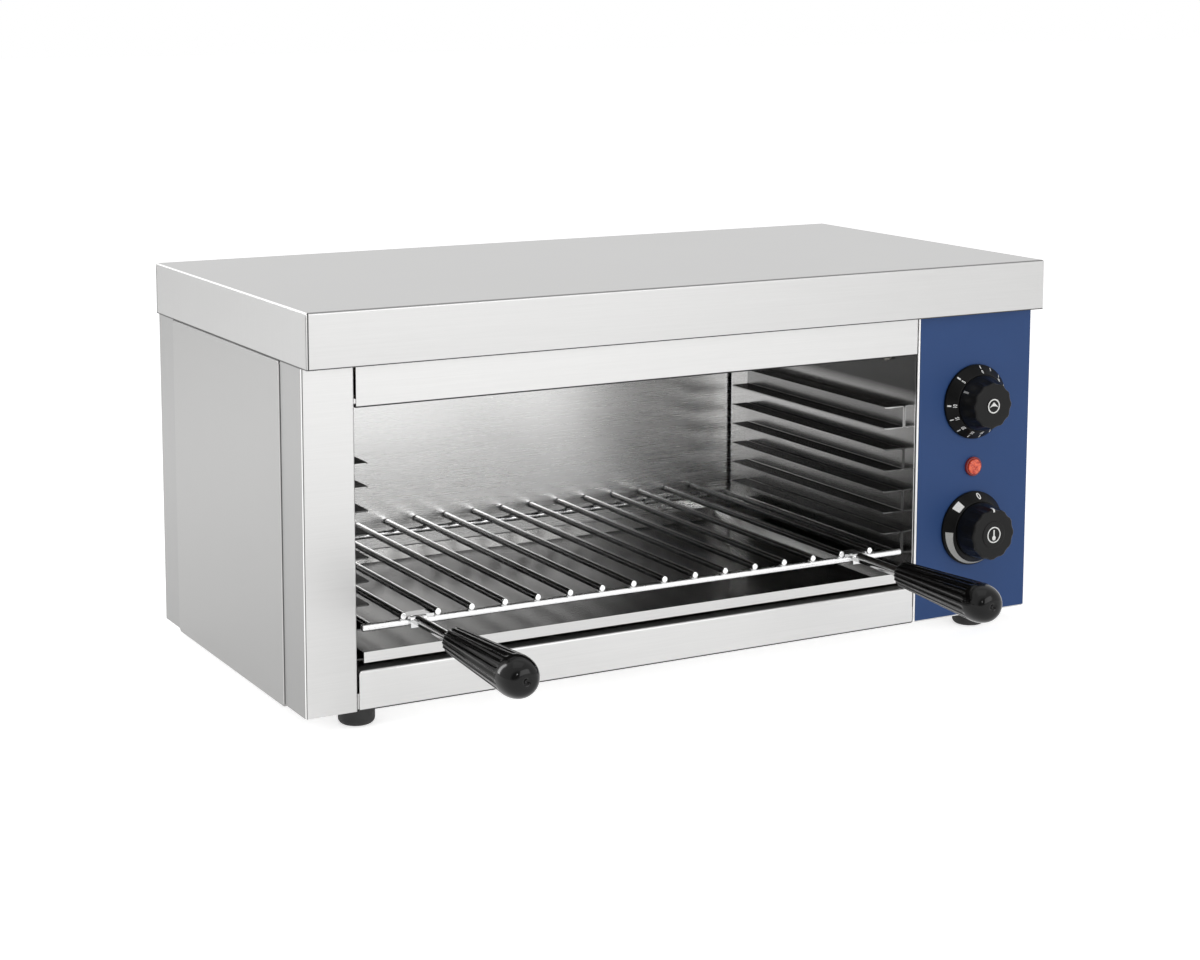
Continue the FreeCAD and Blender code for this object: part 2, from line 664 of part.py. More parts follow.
def rear_panel():
    """The back of the casing, folded forwards at both sides, with vents and the cable hole."""
    flange_front = SIDE_PANEL_REAR + PANEL_SEAM
    path = [
        Vector(BODY_LEFT, flange_front, BODY_BOTTOM),
        Vector(BODY_LEFT, BODY_REAR, BODY_BOTTOM),
        Vector(BODY_RIGHT, BODY_REAR, BODY_BOTTOM),
        Vector(BODY_RIGHT, flange_front, BODY_BOTTOM),
    ]
    height = UPWARD * (BODY_TOP - BODY_BOTTOM)
    panel = folded_sheet(path, CASE_SHEET, FOLD_RADIUS, height, RIGHTWARD)
    cut_from = BODY_REAR - CASE_SHEET - OVERRUN
    cut_to = BODY_REAR + OVERRUN
    for index in range(VENT_COUNT):
        top = VENT_TOP - index * VENT_PITCH
        half = (VENT_LENGTH - VENT_HEIGHT) / 2
        slot = block(DIAL_X - half, DIAL_X + half, cut_from, cut_to, top - VENT_HEIGHT, top)
        middle = top - VENT_HEIGHT / 2
        for x in (DIAL_X - half, DIAL_X + half):
            slot = slot.fuse(rod(Vector(x, cut_from, middle), Vector(x, cut_to, middle), VENT_HEIGHT))
        panel = panel.cut(slot)
    gland_hole = GLAND_THREAD_DIAMETER + NECK_CLEARANCE
    hole_from = Vector(DIAL_X, cut_from, GLAND_HEIGHT)
    hole_to = Vector(DIAL_X, cut_to, GLAND_HEIGHT)
    panel = panel.cut(rod(hole_from, hole_to, gland_hole))
    for x in base_screw_places():
        panel = panel.cut(screw_hole(x, BODY_REAR, BASE_TOP + BASE_SCREW_RISE))
    for x in cover_screw_places():
        panel = panel.cut(screw_hole(x, COVER_REAR, TOTAL_HEIGHT - COVER_SCREW_DROP))
    return panel


def base_plate():
    """The floor of the casing, with a flange up at the front and at the back."""
    front = BEHIND_FRONT
    rear = BEFORE_REAR
    left = COVER_LEFT + SIDE_PANEL_PAN + FIT_GAP
    right = COVER_RIGHT - SIDE_PANEL_PAN - FIT_GAP
    flange_top = BODY_BOTTOM + BASE_FLANGE
    path = [
        Vector(left, front, flange_top),
        Vector(left, front, BODY_BOTTOM),
        Vector(left, rear, BODY_BOTTOM),
        Vector(left, rear, flange_top),
    ]
    plate = folded_sheet(path, CASE_SHEET, FOLD_RADIUS, RIGHTWARD * (right - left), BACKWARD)
    for return_left in (POST_EDGE - CASE_SHEET, PANEL_EDGE):
        notch = block(
            return_left - FIT_GAP,
            return_left + CASE_SHEET + FIT_GAP,
            front - OVERRUN,
            BODY_FRONT + POST_INNER_RETURN + FIT_GAP,
            BODY_BOTTOM - OVERRUN,
            flange_top + OVERRUN,
        )
        plate = plate.cut(notch)
    for place in foot_places():
        hole = FOOT_SCREW_DIAMETER + CASE_SCREW_HOLE_FIT
        plate = plate.cut(rod(place, place.add(UPWARD * (BASE_TOP + OVERRUN)), hole))
    for x in base_screw_places():
        plate = plate.cut(screw_hole(x, BODY_REAR, BASE_TOP + BASE_SCREW_RISE))
    return plate


# Chamber lining

def left_inner_wall():
    """The plain wall that carries the left runners."""
    return block(
        WALL_LEFT - INNER_SHEET,
        WALL_LEFT,
        BEHIND_FRONT + BODY_STEP,
        WALL_REAR,
        BASE_TOP + FIT_GAP,
        WALL_TOP,
    )


def right_inner_wall():
    """The wall between the chamber and the controls, with holes for the elements and the sensor."""
    wall = block(
        WALL_RIGHT,
        WALL_RIGHT + INNER_SHEET,
        BEHIND_FRONT + BODY_STEP,
        WALL_REAR,
        BASE_TOP + FIT_GAP,
        WALL_TOP,
    )
    bushing_hole = BUSHING_DIAMETER + CASE_SCREW_HOLE_FIT
    for y in element_end_places():
        wall = wall.cut(wall_hole(y, ELEMENT_HEIGHT, bushing_hole))
    sensor_hole = CAPILLARY_DIAMETER + 2 * SLIDE_GAP
    return wall.cut(wall_hole(BULB_Y, BULB_Z, sensor_hole))


def wall_hole(y, z, diameter):
    """A cutter that goes straight through the right inner wall."""
    near_side = Vector(WALL_RIGHT - OVERRUN, y, z)
    far_side = Vector(WALL_RIGHT + INNER_SHEET + OVERRUN, y, z)
    return rod(near_side, far_side, diameter)


def inner_rear_wall():
    """The bright wall at the back of the chamber, folded back to the rear panel at top and bottom."""
    left = WALL_LEFT - REAR_WALL_MARGIN
    right = WALL_RIGHT + INNER_SHEET + REAR_WALL_MARGIN
    bottom = BODY_BOTTOM + BASE_FLANGE + FIT_GAP
    flange = BODY_REAR - CASE_SHEET - FIT_GAP
    path = [
        Vector(left, flange, bottom),
        Vector(left, REAR_WALL_Y, bottom),
        Vector(left, REAR_WALL_Y, WALL_TOP),
        Vector(left, flange, WALL_TOP),
    ]
    return folded_sheet(path, INNER_SHEET, FOLD_RADIUS, RIGHTWARD * (right - left), UPWARD)


def ceiling_reflector():
    """The bright tray over the elements, sloped down at its front and back edges."""
    left = WALL_LEFT + FIT_GAP
    right = WALL_RIGHT - FIT_GAP
    low = REFLECTOR_HEIGHT - REFLECTOR_DROP
    path = [
        Vector(left, CEILING_FRONT, low),
        Vector(left, CEILING_FRONT + REFLECTOR_SLOPE, REFLECTOR_HEIGHT),
        Vector(left, CEILING_REAR - REFLECTOR_SLOPE, REFLECTOR_HEIGHT),
        Vector(left, CEILING_REAR, low),
    ]
    return folded_sheet(path, REFLECTOR_SHEET, FOLD_RADIUS, RIGHTWARD * (right - left), UPWARD)


def ceiling_insulation():
    """The fibre pad that lies on the reflector."""
    bottom = REFLECTOR_HEIGHT + REFLECTOR_SHEET + FIT_GAP
    return block(
        WALL_LEFT + PAD_MARGIN,
        WALL_RIGHT - PAD_MARGIN,
        CEILING_FRONT + REFLECTOR_SLOPE + PAD_MARGIN,
        CEILING_REAR - REFLECTOR_SLOPE - PAD_MARGIN,
        bottom,
        bottom + PAD_HEIGHT,
    )


# Runners

def ledge_top(ledge):
    """The height of a ledge, counted from the lowest."""
    return LOWEST_LEDGE + ledge * LEDGE_PITCH


def left_runner(channel):
    """A channel along the wall. Its two flanges are ledges for the grate."""
    lower = ledge_top(2 * channel) - RUNNER_SHEET
    upper = ledge_top(2 * channel + 1)
    tip = RUNNER_ROOT + RUNNER_REACH
    path = [
        Vector(tip, RUNNER_FRONT, lower),
        Vector(RUNNER_ROOT, RUNNER_FRONT, lower),
        Vector(RUNNER_ROOT, RUNNER_FRONT, upper),
        Vector(tip, RUNNER_FRONT, upper),
    ]
    runner = folded_sheet(path, RUNNER_SHEET, RUNNER_FOLD, BACKWARD * RUNNER_LENGTH, UPWARD)
    for y, inward in ((RUNNER_FRONT, 1), (RUNNER_REAR, -1)):
        corner = Vector(tip, y, lower - OVERRUN)
        along = corner.add(BACKWARD * (inward * RUNNER_TIP))
        across = corner.add(LEFTWARD * RUNNER_TIP)
        height = UPWARD * (upper - lower + 2 * OVERRUN)
        runner = runner.cut(Part.Face(Part.makePolygon([corner, along, across, corner])).extrude(height))
    return runner


def left_tray_rail():
    """The angle on which one side of the drip tray slides."""
    path = [
        Vector(RUNNER_ROOT, RUNNER_FRONT, TRAY_RAIL_TOP - TRAY_RAIL_HEIGHT),
        Vector(RUNNER_ROOT, RUNNER_FRONT, TRAY_RAIL_TOP),
        Vector(RUNNER_ROOT + TRAY_RAIL_REACH, RUNNER_FRONT, TRAY_RAIL_TOP),
    ]
    return folded_sheet(path, TRAY_RAIL_SHEET, RUNNER_FOLD, BACKWARD * RUNNER_LENGTH, RIGHTWARD)


# Wire grate

def grate_wires():
    """The wires that food rests on, with the sharp edges of their ends broken."""
    front = CROSSBAR_FRONT - WIRE_FRONT_END
    rear = CROSSBAR_REAR + WIRE_REAR_END
    wires = []
    for index in range(WIRE_STEPS + 1):
        x = CHAMBER_X - WIRE_REACH + index * WIRE_PITCH
        wire = rod(Vector(x, front, WIRE_HEIGHT), Vector(x, rear, WIRE_HEIGHT), WIRE_DIAMETER)
        ends = edges_where(wire, lambda edge, middle: near(middle.y, front) or near(middle.y, rear))
        wires.append(wire.makeFillet(WIRE_ROUND, ends))
    return Part.makeCompound(wires)


def crossbar(y, side_gap):
    """A bar across the grate, with its sharp ends broken."""
    half = CHAMBER_HALF - side_gap
    bar = rod(
        Vector(CHAMBER_X - half, y, FRAME_HEIGHT),
        Vector(CHAMBER_X + half, y, FRAME_HEIGHT),
        FRAME_DIAMETER,
    )
    ends = edges_where(bar, lambda edge, middle: near(abs(middle.x - CHAMBER_X), half))
    return bar.makeFillet(CROSSBAR_ROUND, ends)


def grate_crossbars():
    """The two bars that the wires are welded to."""
    front = crossbar(CROSSBAR_FRONT, FRONT_CROSSBAR_GAP)
    rear = crossbar(CROSSBAR_REAR, REAR_CROSSBAR_GAP)
    return Part.makeCompound([front, rear])


def grate_side_rods():
    """The rods between the crossbars, which ride on the lowest pair of ledges."""
    end_gap = FRAME_DIAMETER / 2 + WELD_GAP
    rods = []
    for side in (-1, 1):
        x = CHAMBER_X + side * SIDE_ROD_REACH
        start = Vector(x, CROSSBAR_FRONT + end_gap, FRAME_HEIGHT)
        end = Vector(x, CROSSBAR_REAR - end_gap, FRAME_HEIGHT)
        rods.append(rod(start, end, FRAME_DIAMETER))
    return Part.makeCompound(rods)


def grate_handle(side):
    """A plate on the front crossbar, its tab bent down in front, and the rod that the tab carries."""
    x = CHAMBER_X + side * HANDLE_X
    plate_x = CHAMBER_X + side * BRACKET_X
    plate_rear = TAB_FRONT + BRACKET_DEPTH
    plate = block(
        plate_x - BRACKET_WIDTH / 2,
        plate_x + BRACKET_WIDTH / 2,
        TAB_FRONT + BRACKET_SHEET,
        plate_rear,
        PLATE_BOTTOM,
        PLATE_TOP,
    )
    middle_z = (PLATE_BOTTOM + PLATE_TOP) / 2
    rear_corners = edges_where(
        plate,
        lambda edge, middle: near(middle.z, middle_z) and near(middle.y, plate_rear),
    )
    plate = plate.makeFillet(BRACKET_SHEET / 2, rear_corners)
    path = [
        Vector(x - TAB_WIDTH / 2, plate_rear, PLATE_TOP),
        Vector(x - TAB_WIDTH / 2, TAB_FRONT, PLATE_TOP),
        Vector(x - TAB_WIDTH / 2, TAB_FRONT, PLATE_TOP - TAB_HEIGHT),
    ]
    tab = folded_sheet(path, BRACKET_SHEET, BRACKET_FOLD, RIGHTWARD * TAB_WIDTH, DOWNWARD)
    rod_end = GRIP_START - GRIP_BORE_DEPTH + SLIDE_GAP
    bar = rod(Vector(x, TAB_FRONT, HANDLE_HEIGHT), Vector(x, rod_end, HANDLE_HEIGHT), HANDLE_DIAMETER)
    return plate.fuse(tab).fuse(bar).removeSplitter()


def grip(side):
    """A fluted grip that widens from its neck to a domed end with a small dimple."""
    x = CHAMBER_X + side * HANDLE_X
    base = Vector(x, GRIP_START, HANDLE_HEIGHT)
    neck = GRIP_NECK_DIAMETER / 2
    wide = GRIP_END_DIAMETER / 2
    taper = GRIP_LENGTH - GRIP_DOME
    profile = [(0, 0), (0, neck - BRACKET_FOLD), (BRACKET_FOLD, neck), (taper, wide)]
    rim = GRIP_RIM_DIAMETER / 2
    for step in range(1, GRIP_DOME_STEPS + 1):
        angle = math.pi / 2 * step / GRIP_DOME_STEPS
        away = rim + (wide - rim) * math.cos(angle)
        profile.append((taper + GRIP_DOME * math.sin(angle), away))
    profile.append((GRIP_LENGTH, GRIP_DIMPLE_DIAMETER / 2))
    profile.append((GRIP_LENGTH - GRIP_DIMPLE_DEPTH, 0))
    body = turned(profile, base, FRONTWARD, UPWARD)
    flute = FLUTE_DIAMETER / 2
    for index in range(FLUTE_COUNT):
        angle = 2 * math.pi * index / FLUTE_COUNT
        out = Vector(math.sin(angle), 0, math.cos(angle))
        start = base.add(BACKWARD * OVERRUN).add(out * (neck + flute - FLUTE_DEPTH))
        end = base.add(FRONTWARD * taper).add(out * (wide + flute - FLUTE_DEPTH))
        body = body.cut(rod(start, end, FLUTE_DIAMETER))
    bore = HANDLE_DIAMETER + 2 * BORE_FIT
    bore_start = base.add(BACKWARD * OVERRUN)
    bore_end = base.add(FRONTWARD * GRIP_BORE_DEPTH)
    return body.cut(rod(bore_start, bore_end, bore))


# Drip tray

def rectangle(x_from, x_to, y_from, y_to, z):
    """A closed level outline."""
    corners = [
        Vector(x_from, y_from, z),
        Vector(x_to, y_from, z),
        Vector(x_to, y_to, z),
        Vector(x_from, y_to, z),
        Vector(x_from, y_from, z),
    ]
    return Part.makePolygon(corners)


def drip_tray():
    """A shallow pan with a flat rim at each side and a sloped back."""
    brim_left = TRAY_LEFT + TRAY_RIM
    brim_right = TRAY_RIGHT - TRAY_RIM
    floor_left = brim_left + TRAY_SIDE_SLOPE
    floor_right = brim_right - TRAY_SIDE_SLOPE
    floor_rear = TRAY_REAR - TRAY_REAR_SLOPE
    outer_floor = rectangle(floor_left, floor_right, TRAY_FRONT, floor_rear, TRAY_BOTTOM)
    outer_brim = rectangle(brim_left, brim_right, TRAY_FRONT, TRAY_REAR, TRAY_TOP)
    inner_floor = rectangle(
        floor_left + TRAY_SHEET,
        floor_right - TRAY_SHEET,
        TRAY_FRONT + TRAY_SHEET,
        floor_rear - TRAY_SHEET,
        TRAY_BOTTOM + TRAY_SHEET,
    )
    inner_brim = rectangle(
        brim_left + TRAY_SHEET,
        brim_right - TRAY_SHEET,
        TRAY_FRONT + TRAY_SHEET,
        TRAY_REAR - TRAY_SHEET,
        TRAY_TOP,
    )
    outer = Part.makeLoft([outer_floor, outer_brim], True, True)
    tray = outer.cut(Part.makeLoft([inner_floor, inner_brim], True, True))
    for x_from, x_to in ((TRAY_LEFT, brim_left + TRAY_SHEET), (brim_right - TRAY_SHEET, TRAY_RIGHT)):
        rim = block(x_from, x_to, TRAY_FRONT, TRAY_REAR, TRAY_TOP - TRAY_SHEET, TRAY_TOP)
        tray = tray.fuse(rim)
    face = block(TRAY_LEFT, TRAY_RIGHT, TRAY_FRONT, TRAY_FRONT + TRAY_SHEET, TRAY_BOTTOM, TRAY_TOP)
    return tray.fuse(face).removeSplitter()


# Heating elements

def element_legs(first):
    """The places from front to back of an element's legs, from that of its first leg."""
    return [first + leg * ELEMENT_LEG_PITCH for leg in range(ELEMENT_LEGS)]


def element_end_places():
    """The places from front to back where the element ends pass the wall."""
    places = []
    for first in (ELEMENT_FRONT, REAR_ELEMENT_FRONT):
        legs = element_legs(first)
        places.extend((legs[0], legs[-1]))
    return places


def heating_element(first):
    """A sheathed tube that runs to and fro under the reflector, with both ends through the right wall."""
    bend = ELEMENT_LEG_PITCH / 2
    left = WALL_LEFT + ELEMENT_SIDE_MARGIN
    right = WALL_RIGHT - ELEMENT_SIDE_MARGIN
    end = WALL_RIGHT + INNER_SHEET + BUSHING_LENGTH / 2 + WELD_GAP
    legs = element_legs(first)
    edges = []
    start = Vector(end, legs[0], ELEMENT_HEIGHT)
    for index, y in enumerate(legs[:-1]):
        going_left = index % 2 == 0
        turn_x = left if going_left else right
        bulge = turn_x - bend if going_left else turn_x + bend
        arrive = Vector(turn_x, y, ELEMENT_HEIGHT)
        leave = Vector(turn_x, legs[index + 1], ELEMENT_HEIGHT)
        middle = Vector(bulge, y + bend, ELEMENT_HEIGHT)
        edges.append(Part.LineSegment(start, arrive).toShape())
        edges.append(Part.Arc(arrive, middle, leave).toShape())
        start = leave
    edges.append(Part.LineSegment(start, Vector(end, legs[-1], ELEMENT_HEIGHT)).toShape())
    spine = Part.Wire(edges)
    first_end = Vector(end, legs[0], ELEMENT_HEIGHT)
    section = Part.Wire(Part.makeCircle(ELEMENT_DIAMETER / 2, first_end, LEFTWARD))
    return spine.makePipeShell([section], True, False)


def element_hangers():
    """Strips that hang from the reflector and pass under each element."""
    hangers = []
    low = ELEMENT_HEIGHT - ELEMENT_DIAMETER / 2 - FIT_GAP
    high = REFLECTOR_HEIGHT - FIT_GAP
    for first in (ELEMENT_FRONT, REAR_ELEMENT_FRONT):
        legs = element_legs(first)
        front = legs[0] - ELEMENT_DIAMETER / 2 - HANGER_MARGIN
        rear = legs[-1] + ELEMENT_DIAMETER / 2 + HANGER_MARGIN
        for side in (-1, 1):
            x = CHAMBER_X + side * HANGER_SPACING / 2 - HANGER_STRIP / 2
            path = [
                Vector(x, front, high),
                Vector(x, front, low),
                Vector(x, rear, low),
                Vector(x, rear, high),
            ]
            run = RIGHTWARD * HANGER_STRIP
            hangers.append(folded_sheet(path, HANGER_SHEET, FOLD_RADIUS, run, FRONTWARD))
    return Part.makeCompound(hangers)


def element_bushings():
    """Threaded sleeves that hold the element ends in the wall, each with a nut on both sides."""
    middle = WALL_RIGHT + INNER_SHEET / 2
    start_x = middle - BUSHING_LENGTH / 2
    bushings = []
    for y in element_end_places():
        start = Vector(start_x, y, ELEMENT_HEIGHT)
        sleeve = rod(start, start.add(RIGHTWARD * BUSHING_LENGTH), BUSHING_DIAMETER)
        for nut_x in (WALL_RIGHT - FIT_GAP - BUSHING_NUT_HEIGHT, WALL_RIGHT + INNER_SHEET + FIT_GAP):
            seat = Vector(nut_x, y, ELEMENT_HEIGHT)
            sleeve = sleeve.fuse(hexagon(seat, RIGHTWARD, BUSHING_NUT, BUSHING_NUT_HEIGHT))
        bore_start = start.add(LEFTWARD * OVERRUN)
        bore_end = start.add(RIGHTWARD * (BUSHING_LENGTH + OVERRUN))
        bore = rod(bore_start, bore_end, ELEMENT_DIAMETER + 2 * WELD_GAP)
        bushings.append(sleeve.cut(bore).removeSplitter())
    return Part.makeCompound(bushings)


def element_terminals():
    """A ceramic bead and a steel pin on each element end, inside the control space."""
    start_x = WALL_RIGHT + INNER_SHEET + BUSHING_LENGTH / 2 + 2 * WELD_GAP
    terminals = []
    for y in element_end_places():
        start = Vector(start_x, y, ELEMENT_HEIGHT)
        bead_end = start.add(RIGHTWARD * TERMINAL_LENGTH)
        pin_end = bead_end.add(RIGHTWARD * TERMINAL_PIN_LENGTH)
        bead = rod(start, bead_end, TERMINAL_DIAMETER)
        terminals.append(bead.fuse(rod(bead_end, pin_end, TERMINAL_PIN_DIAMETER)))
    return Part.makeCompound(terminals)


# Controls

def dial_point(y, z):
    """A point on the line that the dials share."""
    return Vector(DIAL_X, y, z)


def flat_cut(z, y_from, y_to, diameter, flat):
    """The part of a round bar that its flat takes away."""
    half = diameter / 2
    return block(DIAL_X - half, DIAL_X + half, y_from, y_to, z + half - flat, z + half)


def spindle(z):
    """The turning shaft of a control, with a flat where the knob sits."""
    back = PANEL_BACK + SPINDLE_INNER_LENGTH
    front = KNOB_BACK - KNOB_BORE_DEPTH + SLIDE_GAP
    shaft = rod(dial_point(back, z), dial_point(front, z), SPINDLE_DIAMETER)
    return shaft.cut(flat_cut(z, front, SKIRT_BACK, SPINDLE_DIAMETER, SPINDLE_FLAT))


def spindle_bore(z, y_from, y_to):
    """The D-shaped bore of a knob or its skirt."""
    diameter = SPINDLE_DIAMETER + 2 * BORE_FIT
    bore = rod(dial_point(y_to, z), dial_point(y_from, z), diameter)
    return bore.cut(flat_cut(z, y_from, y_to, diameter, SPINDLE_FLAT))


def dial_skirt(z):
    """The hollow cone with the scale, behind a knob and turning with it."""
    rim = SKIRT_DIAMETER / 2
    top = SKIRT_TOP_DIAMETER / 2
    depth = SKIRT_RIM + SKIRT_RISE
    profile = [
        (depth, 0),
        (depth, top),
        (SKIRT_RIM, rim),
        (0, rim),
        (0, rim - SKIRT_WALL),
        (SKIRT_RIM, rim - SKIRT_WALL),
        (depth - SKIRT_WALL, top - SKIRT_WALL),
        (depth - SKIRT_WALL, 0),
    ]
    cone = turned(profile, dial_point(SKIRT_BACK, z), FRONTWARD, UPWARD)
    behind = SKIRT_BACK - WELD_GAP
    turns = (2 * math.pi * rim, 2 * math.pi * top)
    outer_edges = edges_where(
        cone,
        lambda edge, middle: middle.y < behind and any(near(edge.Length, turn) for turn in turns),
    )
    cone = cone.makeFillet(SKIRT_EDGE, outer_edges)
    return cone.cut(spindle_bore(z, SKIRT_TOP - OVERRUN, SKIRT_BACK + OVERRUN))


def knob(z, face_diameter, height, boss_diameter):
    """A lobed knob that narrows to its face, with a raised disc in the middle of the face."""
    front = FASCIA_FRONT - height
    depth = KNOB_BACK - front
    base_radius = KNOB_BASE_DIAMETER / 2
    face_radius = face_diameter / 2
    boss = boss_diameter / 2
    slope = (base_radius - face_radius) / depth
    profile = [
        (0, 0),
        (0, base_radius),
        (depth - KNOB_EDGE, face_radius + slope * KNOB_EDGE),
        (depth, face_radius - KNOB_EDGE),
        (depth, boss),
        (depth + BOSS_RISE, boss - BOSS_RISE),
        (depth + BOSS_RISE, 0),
    ]
    body = turned(profile, dial_point(KNOB_BACK, z), FRONTWARD, UPWARD)
    lobe = KNOB_LOBE_DIAMETER / 2
    for index in range(KNOB_LOBES):
        angle = 2 * math.pi * (index + 0.5) / KNOB_LOBES
        out = Vector(math.sin(angle), 0, math.cos(angle))
        start = dial_point(KNOB_BACK + OVERRUN, z).add(out * (base_radius + lobe + KNOB_LOBE_START))
        end = dial_point(front - OVERRUN, z).add(out * (face_radius + lobe - KNOB_LOBE_DEPTH))
        body = body.cut(rod(start, end, KNOB_LOBE_DIAMETER))
    return body.cut(spindle_bore(z, KNOB_BACK - KNOB_BORE_DEPTH, KNOB_BACK + OVERRUN))


def timer_knob():
    """The upper knob."""
    return knob(TIMER_HEIGHT, TIMER_KNOB_FACE, TIMER_KNOB_HEIGHT, TIMER_BOSS)


def thermostat_knob():
    """The lower knob, which is larger and stands further out."""
    return knob(THERMOSTAT_HEIGHT, THERMOSTAT_KNOB_FACE, THERMOSTAT_KNOB_HEIGHT, THERMOSTAT_BOSS)


def timer_body():
    """The clockwork timer behind the panel, with the neck that its spindle turns in."""
    case_front = PANEL_BACK + FIT_GAP
    case = rod(
        dial_point(case_front, TIMER_HEIGHT),
        dial_point(case_front + TIMER_BODY_LENGTH, TIMER_HEIGHT),
        TIMER_BODY_DIAMETER,
    )
    return with_neck(case, TIMER_HEIGHT, case_front)


def thermostat_body():
    """The thermostat behind the panel, with the neck that its spindle turns in."""
    case_front = PANEL_BACK + FIT_GAP
    half_width = THERMOSTAT_BODY_WIDTH / 2
    half_height = THERMOSTAT_BODY_HEIGHT / 2
    case = block(
        DIAL_X - half_width,
        DIAL_X + half_width,
        case_front,
        case_front + THERMOSTAT_BODY_LENGTH,
        THERMOSTAT_HEIGHT - half_height,
        THERMOSTAT_HEIGHT + half_height,
    )
    return with_neck(case, THERMOSTAT_HEIGHT, case_front)


def with_neck(case, z, case_front):
    """A control's case with its neck through the panel and the hole for the spindle."""
    neck = rod(dial_point(case_front, z), dial_point(FASCIA_FRONT, z), NECK_DIAMETER)
    hole_back = PANEL_BACK + SPINDLE_INNER_LENGTH + SLIDE_GAP
    hole = rod(
        dial_point(FASCIA_FRONT - OVERRUN, z),
        dial_point(hole_back, z),
        SPINDLE_DIAMETER + 2 * BORE_FIT,
    )
    return case.fuse(neck).cut(hole).removeSplitter()


def thermostat_sensor():
    """The sensor bulb under the reflector and the thin tube from it to the thermostat."""
    bulb_end = WALL_RIGHT - ELEMENT_SIDE_MARGIN / 2
    bulb_start = bulb_end - BULB_LENGTH
    bulb = rod(Vector(bulb_start, BULB_Y, BULB_Z), Vector(bulb_end, BULB_Y, BULB_Z), BULB_DIAMETER)
    drop_x = DIAL_X - THERMOSTAT_BODY_WIDTH / 4
    meet_y = PANEL_BACK + FIT_GAP + THERMOSTAT_BODY_LENGTH / 2
    case_top = THERMOSTAT_HEIGHT + THERMOSTAT_BODY_HEIGHT / 2
    route = [
        Vector(bulb_end, BULB_Y, BULB_Z),
        Vector(drop_x, BULB_Y, BULB_Z),
        Vector(drop_x, BULB_Y, case_top + 2 * CAPILLARY_BEND),
        Vector(drop_x, meet_y, case_top + 2 * CAPILLARY_BEND),
        Vector(drop_x, meet_y, case_top + WELD_GAP),
    ]
    return bulb.fuse(bent_rod(route, CAPILLARY_DIAMETER, CAPILLARY_BEND))


def pilot_lamp_body():
    """The lamp's bezel and its barrel through the panel."""
    bezel_back = FASCIA_FRONT - WELD_GAP
    bezel_front = bezel_back - LAMP_BEZEL_HEIGHT
    back = dial_point(bezel_back, LAMP_HEIGHT)
    bezel = rod(back, dial_point(bezel_front, LAMP_HEIGHT), LAMP_BEZEL_DIAMETER)
    rim = edges_where(bezel, lambda edge, middle: near(middle.y, bezel_front))
    bezel = bezel.makeFillet(LAMP_BEZEL_ROUND, rim)
    barrel = rod(back, back.add(BACKWARD * LAMP_BARREL_LENGTH), LAMP_BARREL_DIAMETER)
    seat = rod(
        dial_point(bezel_front - OVERRUN, LAMP_HEIGHT),
        dial_point(bezel_front + LAMP_LENS_SEAT, LAMP_HEIGHT),
        LAMP_LENS_DIAMETER,
    )
    return bezel.fuse(barrel).cut(seat).removeSplitter()


def pilot_lamp_lens():
    """The domed lens in the bezel."""
    back = FASCIA_FRONT - WELD_GAP - LAMP_BEZEL_HEIGHT + LAMP_LENS_SEAT - WELD_GAP
    front = back - LAMP_LENS_SEAT - LAMP_LENS_RISE
    diameter = LAMP_LENS_DIAMETER - 2 * WELD_GAP
    lens = rod(dial_point(back, LAMP_HEIGHT), dial_point(front, LAMP_HEIGHT), diameter)
    rim = edges_where(lens, lambda edge, middle: near(middle.y, front))
    return lens.makeFillet(LAMP_LENS_ROUND, rim)


# Mains connection

def terminal_block():
    """The block that joins the supply cable to the wires, with a row of clamp holes."""
    left = DIAL_X - TERMINAL_BLOCK_WIDTH / 2
    front = TERMINAL_BLOCK_FRONT
    bottom = BASE_TOP + FIT_GAP
    top = bottom + TERMINAL_BLOCK_HEIGHT
    rear = front + TERMINAL_BLOCK_DEPTH
    body = block(left, left + TERMINAL_BLOCK_WIDTH, front, rear, bottom, top)
    pitch = TERMINAL_BLOCK_WIDTH / TERMINAL_BLOCK_WAYS
    for way in range(TERMINAL_BLOCK_WAYS):
        x = left + pitch * (way + 0.5)
        mouth = Vector(x, (front + rear) / 2, top + OVERRUN)
        floor = mouth.add(DOWNWARD * (OVERRUN + TERMINAL_BLOCK_HOLE))
        body = body.cut(rod(mouth, floor, TERMINAL_BLOCK_HOLE))
    return body


def cable_gland():
    """The gland in the rear panel that a supply cable would pass through."""
    panel_rear = dial_point(BODY_REAR, GLAND_HEIGHT)
    hex_start = panel_rear.add(BACKWARD * WELD_GAP)
    hex_part = hexagon(hex_start, BACKWARD, GLAND_HEX, GLAND_HEX_LENGTH - WELD_GAP)
    cap_start = panel_rear.add(BACKWARD * GLAND_HEX_LENGTH)
    cap_end = cap_start.add(BACKWARD * GLAND_CAP_LENGTH)
    cap = rod(cap_start, cap_end, GLAND_CAP_DIAMETER)
    rim = edges_where(cap, lambda edge, middle: near(middle.y, cap_end.y))
    cap = cap.makeFillet(GLAND_CAP_ROUND, rim)
    thread_end = panel_rear.add(FRONTWARD * (CASE_SHEET + GLAND_THREAD_LENGTH))
    thread = rod(hex_start, thread_end, GLAND_THREAD_DIAMETER)
    bore = rod(thread_end.add(FRONTWARD * OVERRUN), cap_end.add(BACKWARD * OVERRUN), GLAND_BORE_DIAMETER)
    return hex_part.fuse(cap).fuse(thread).cut(bore).removeSplitter()


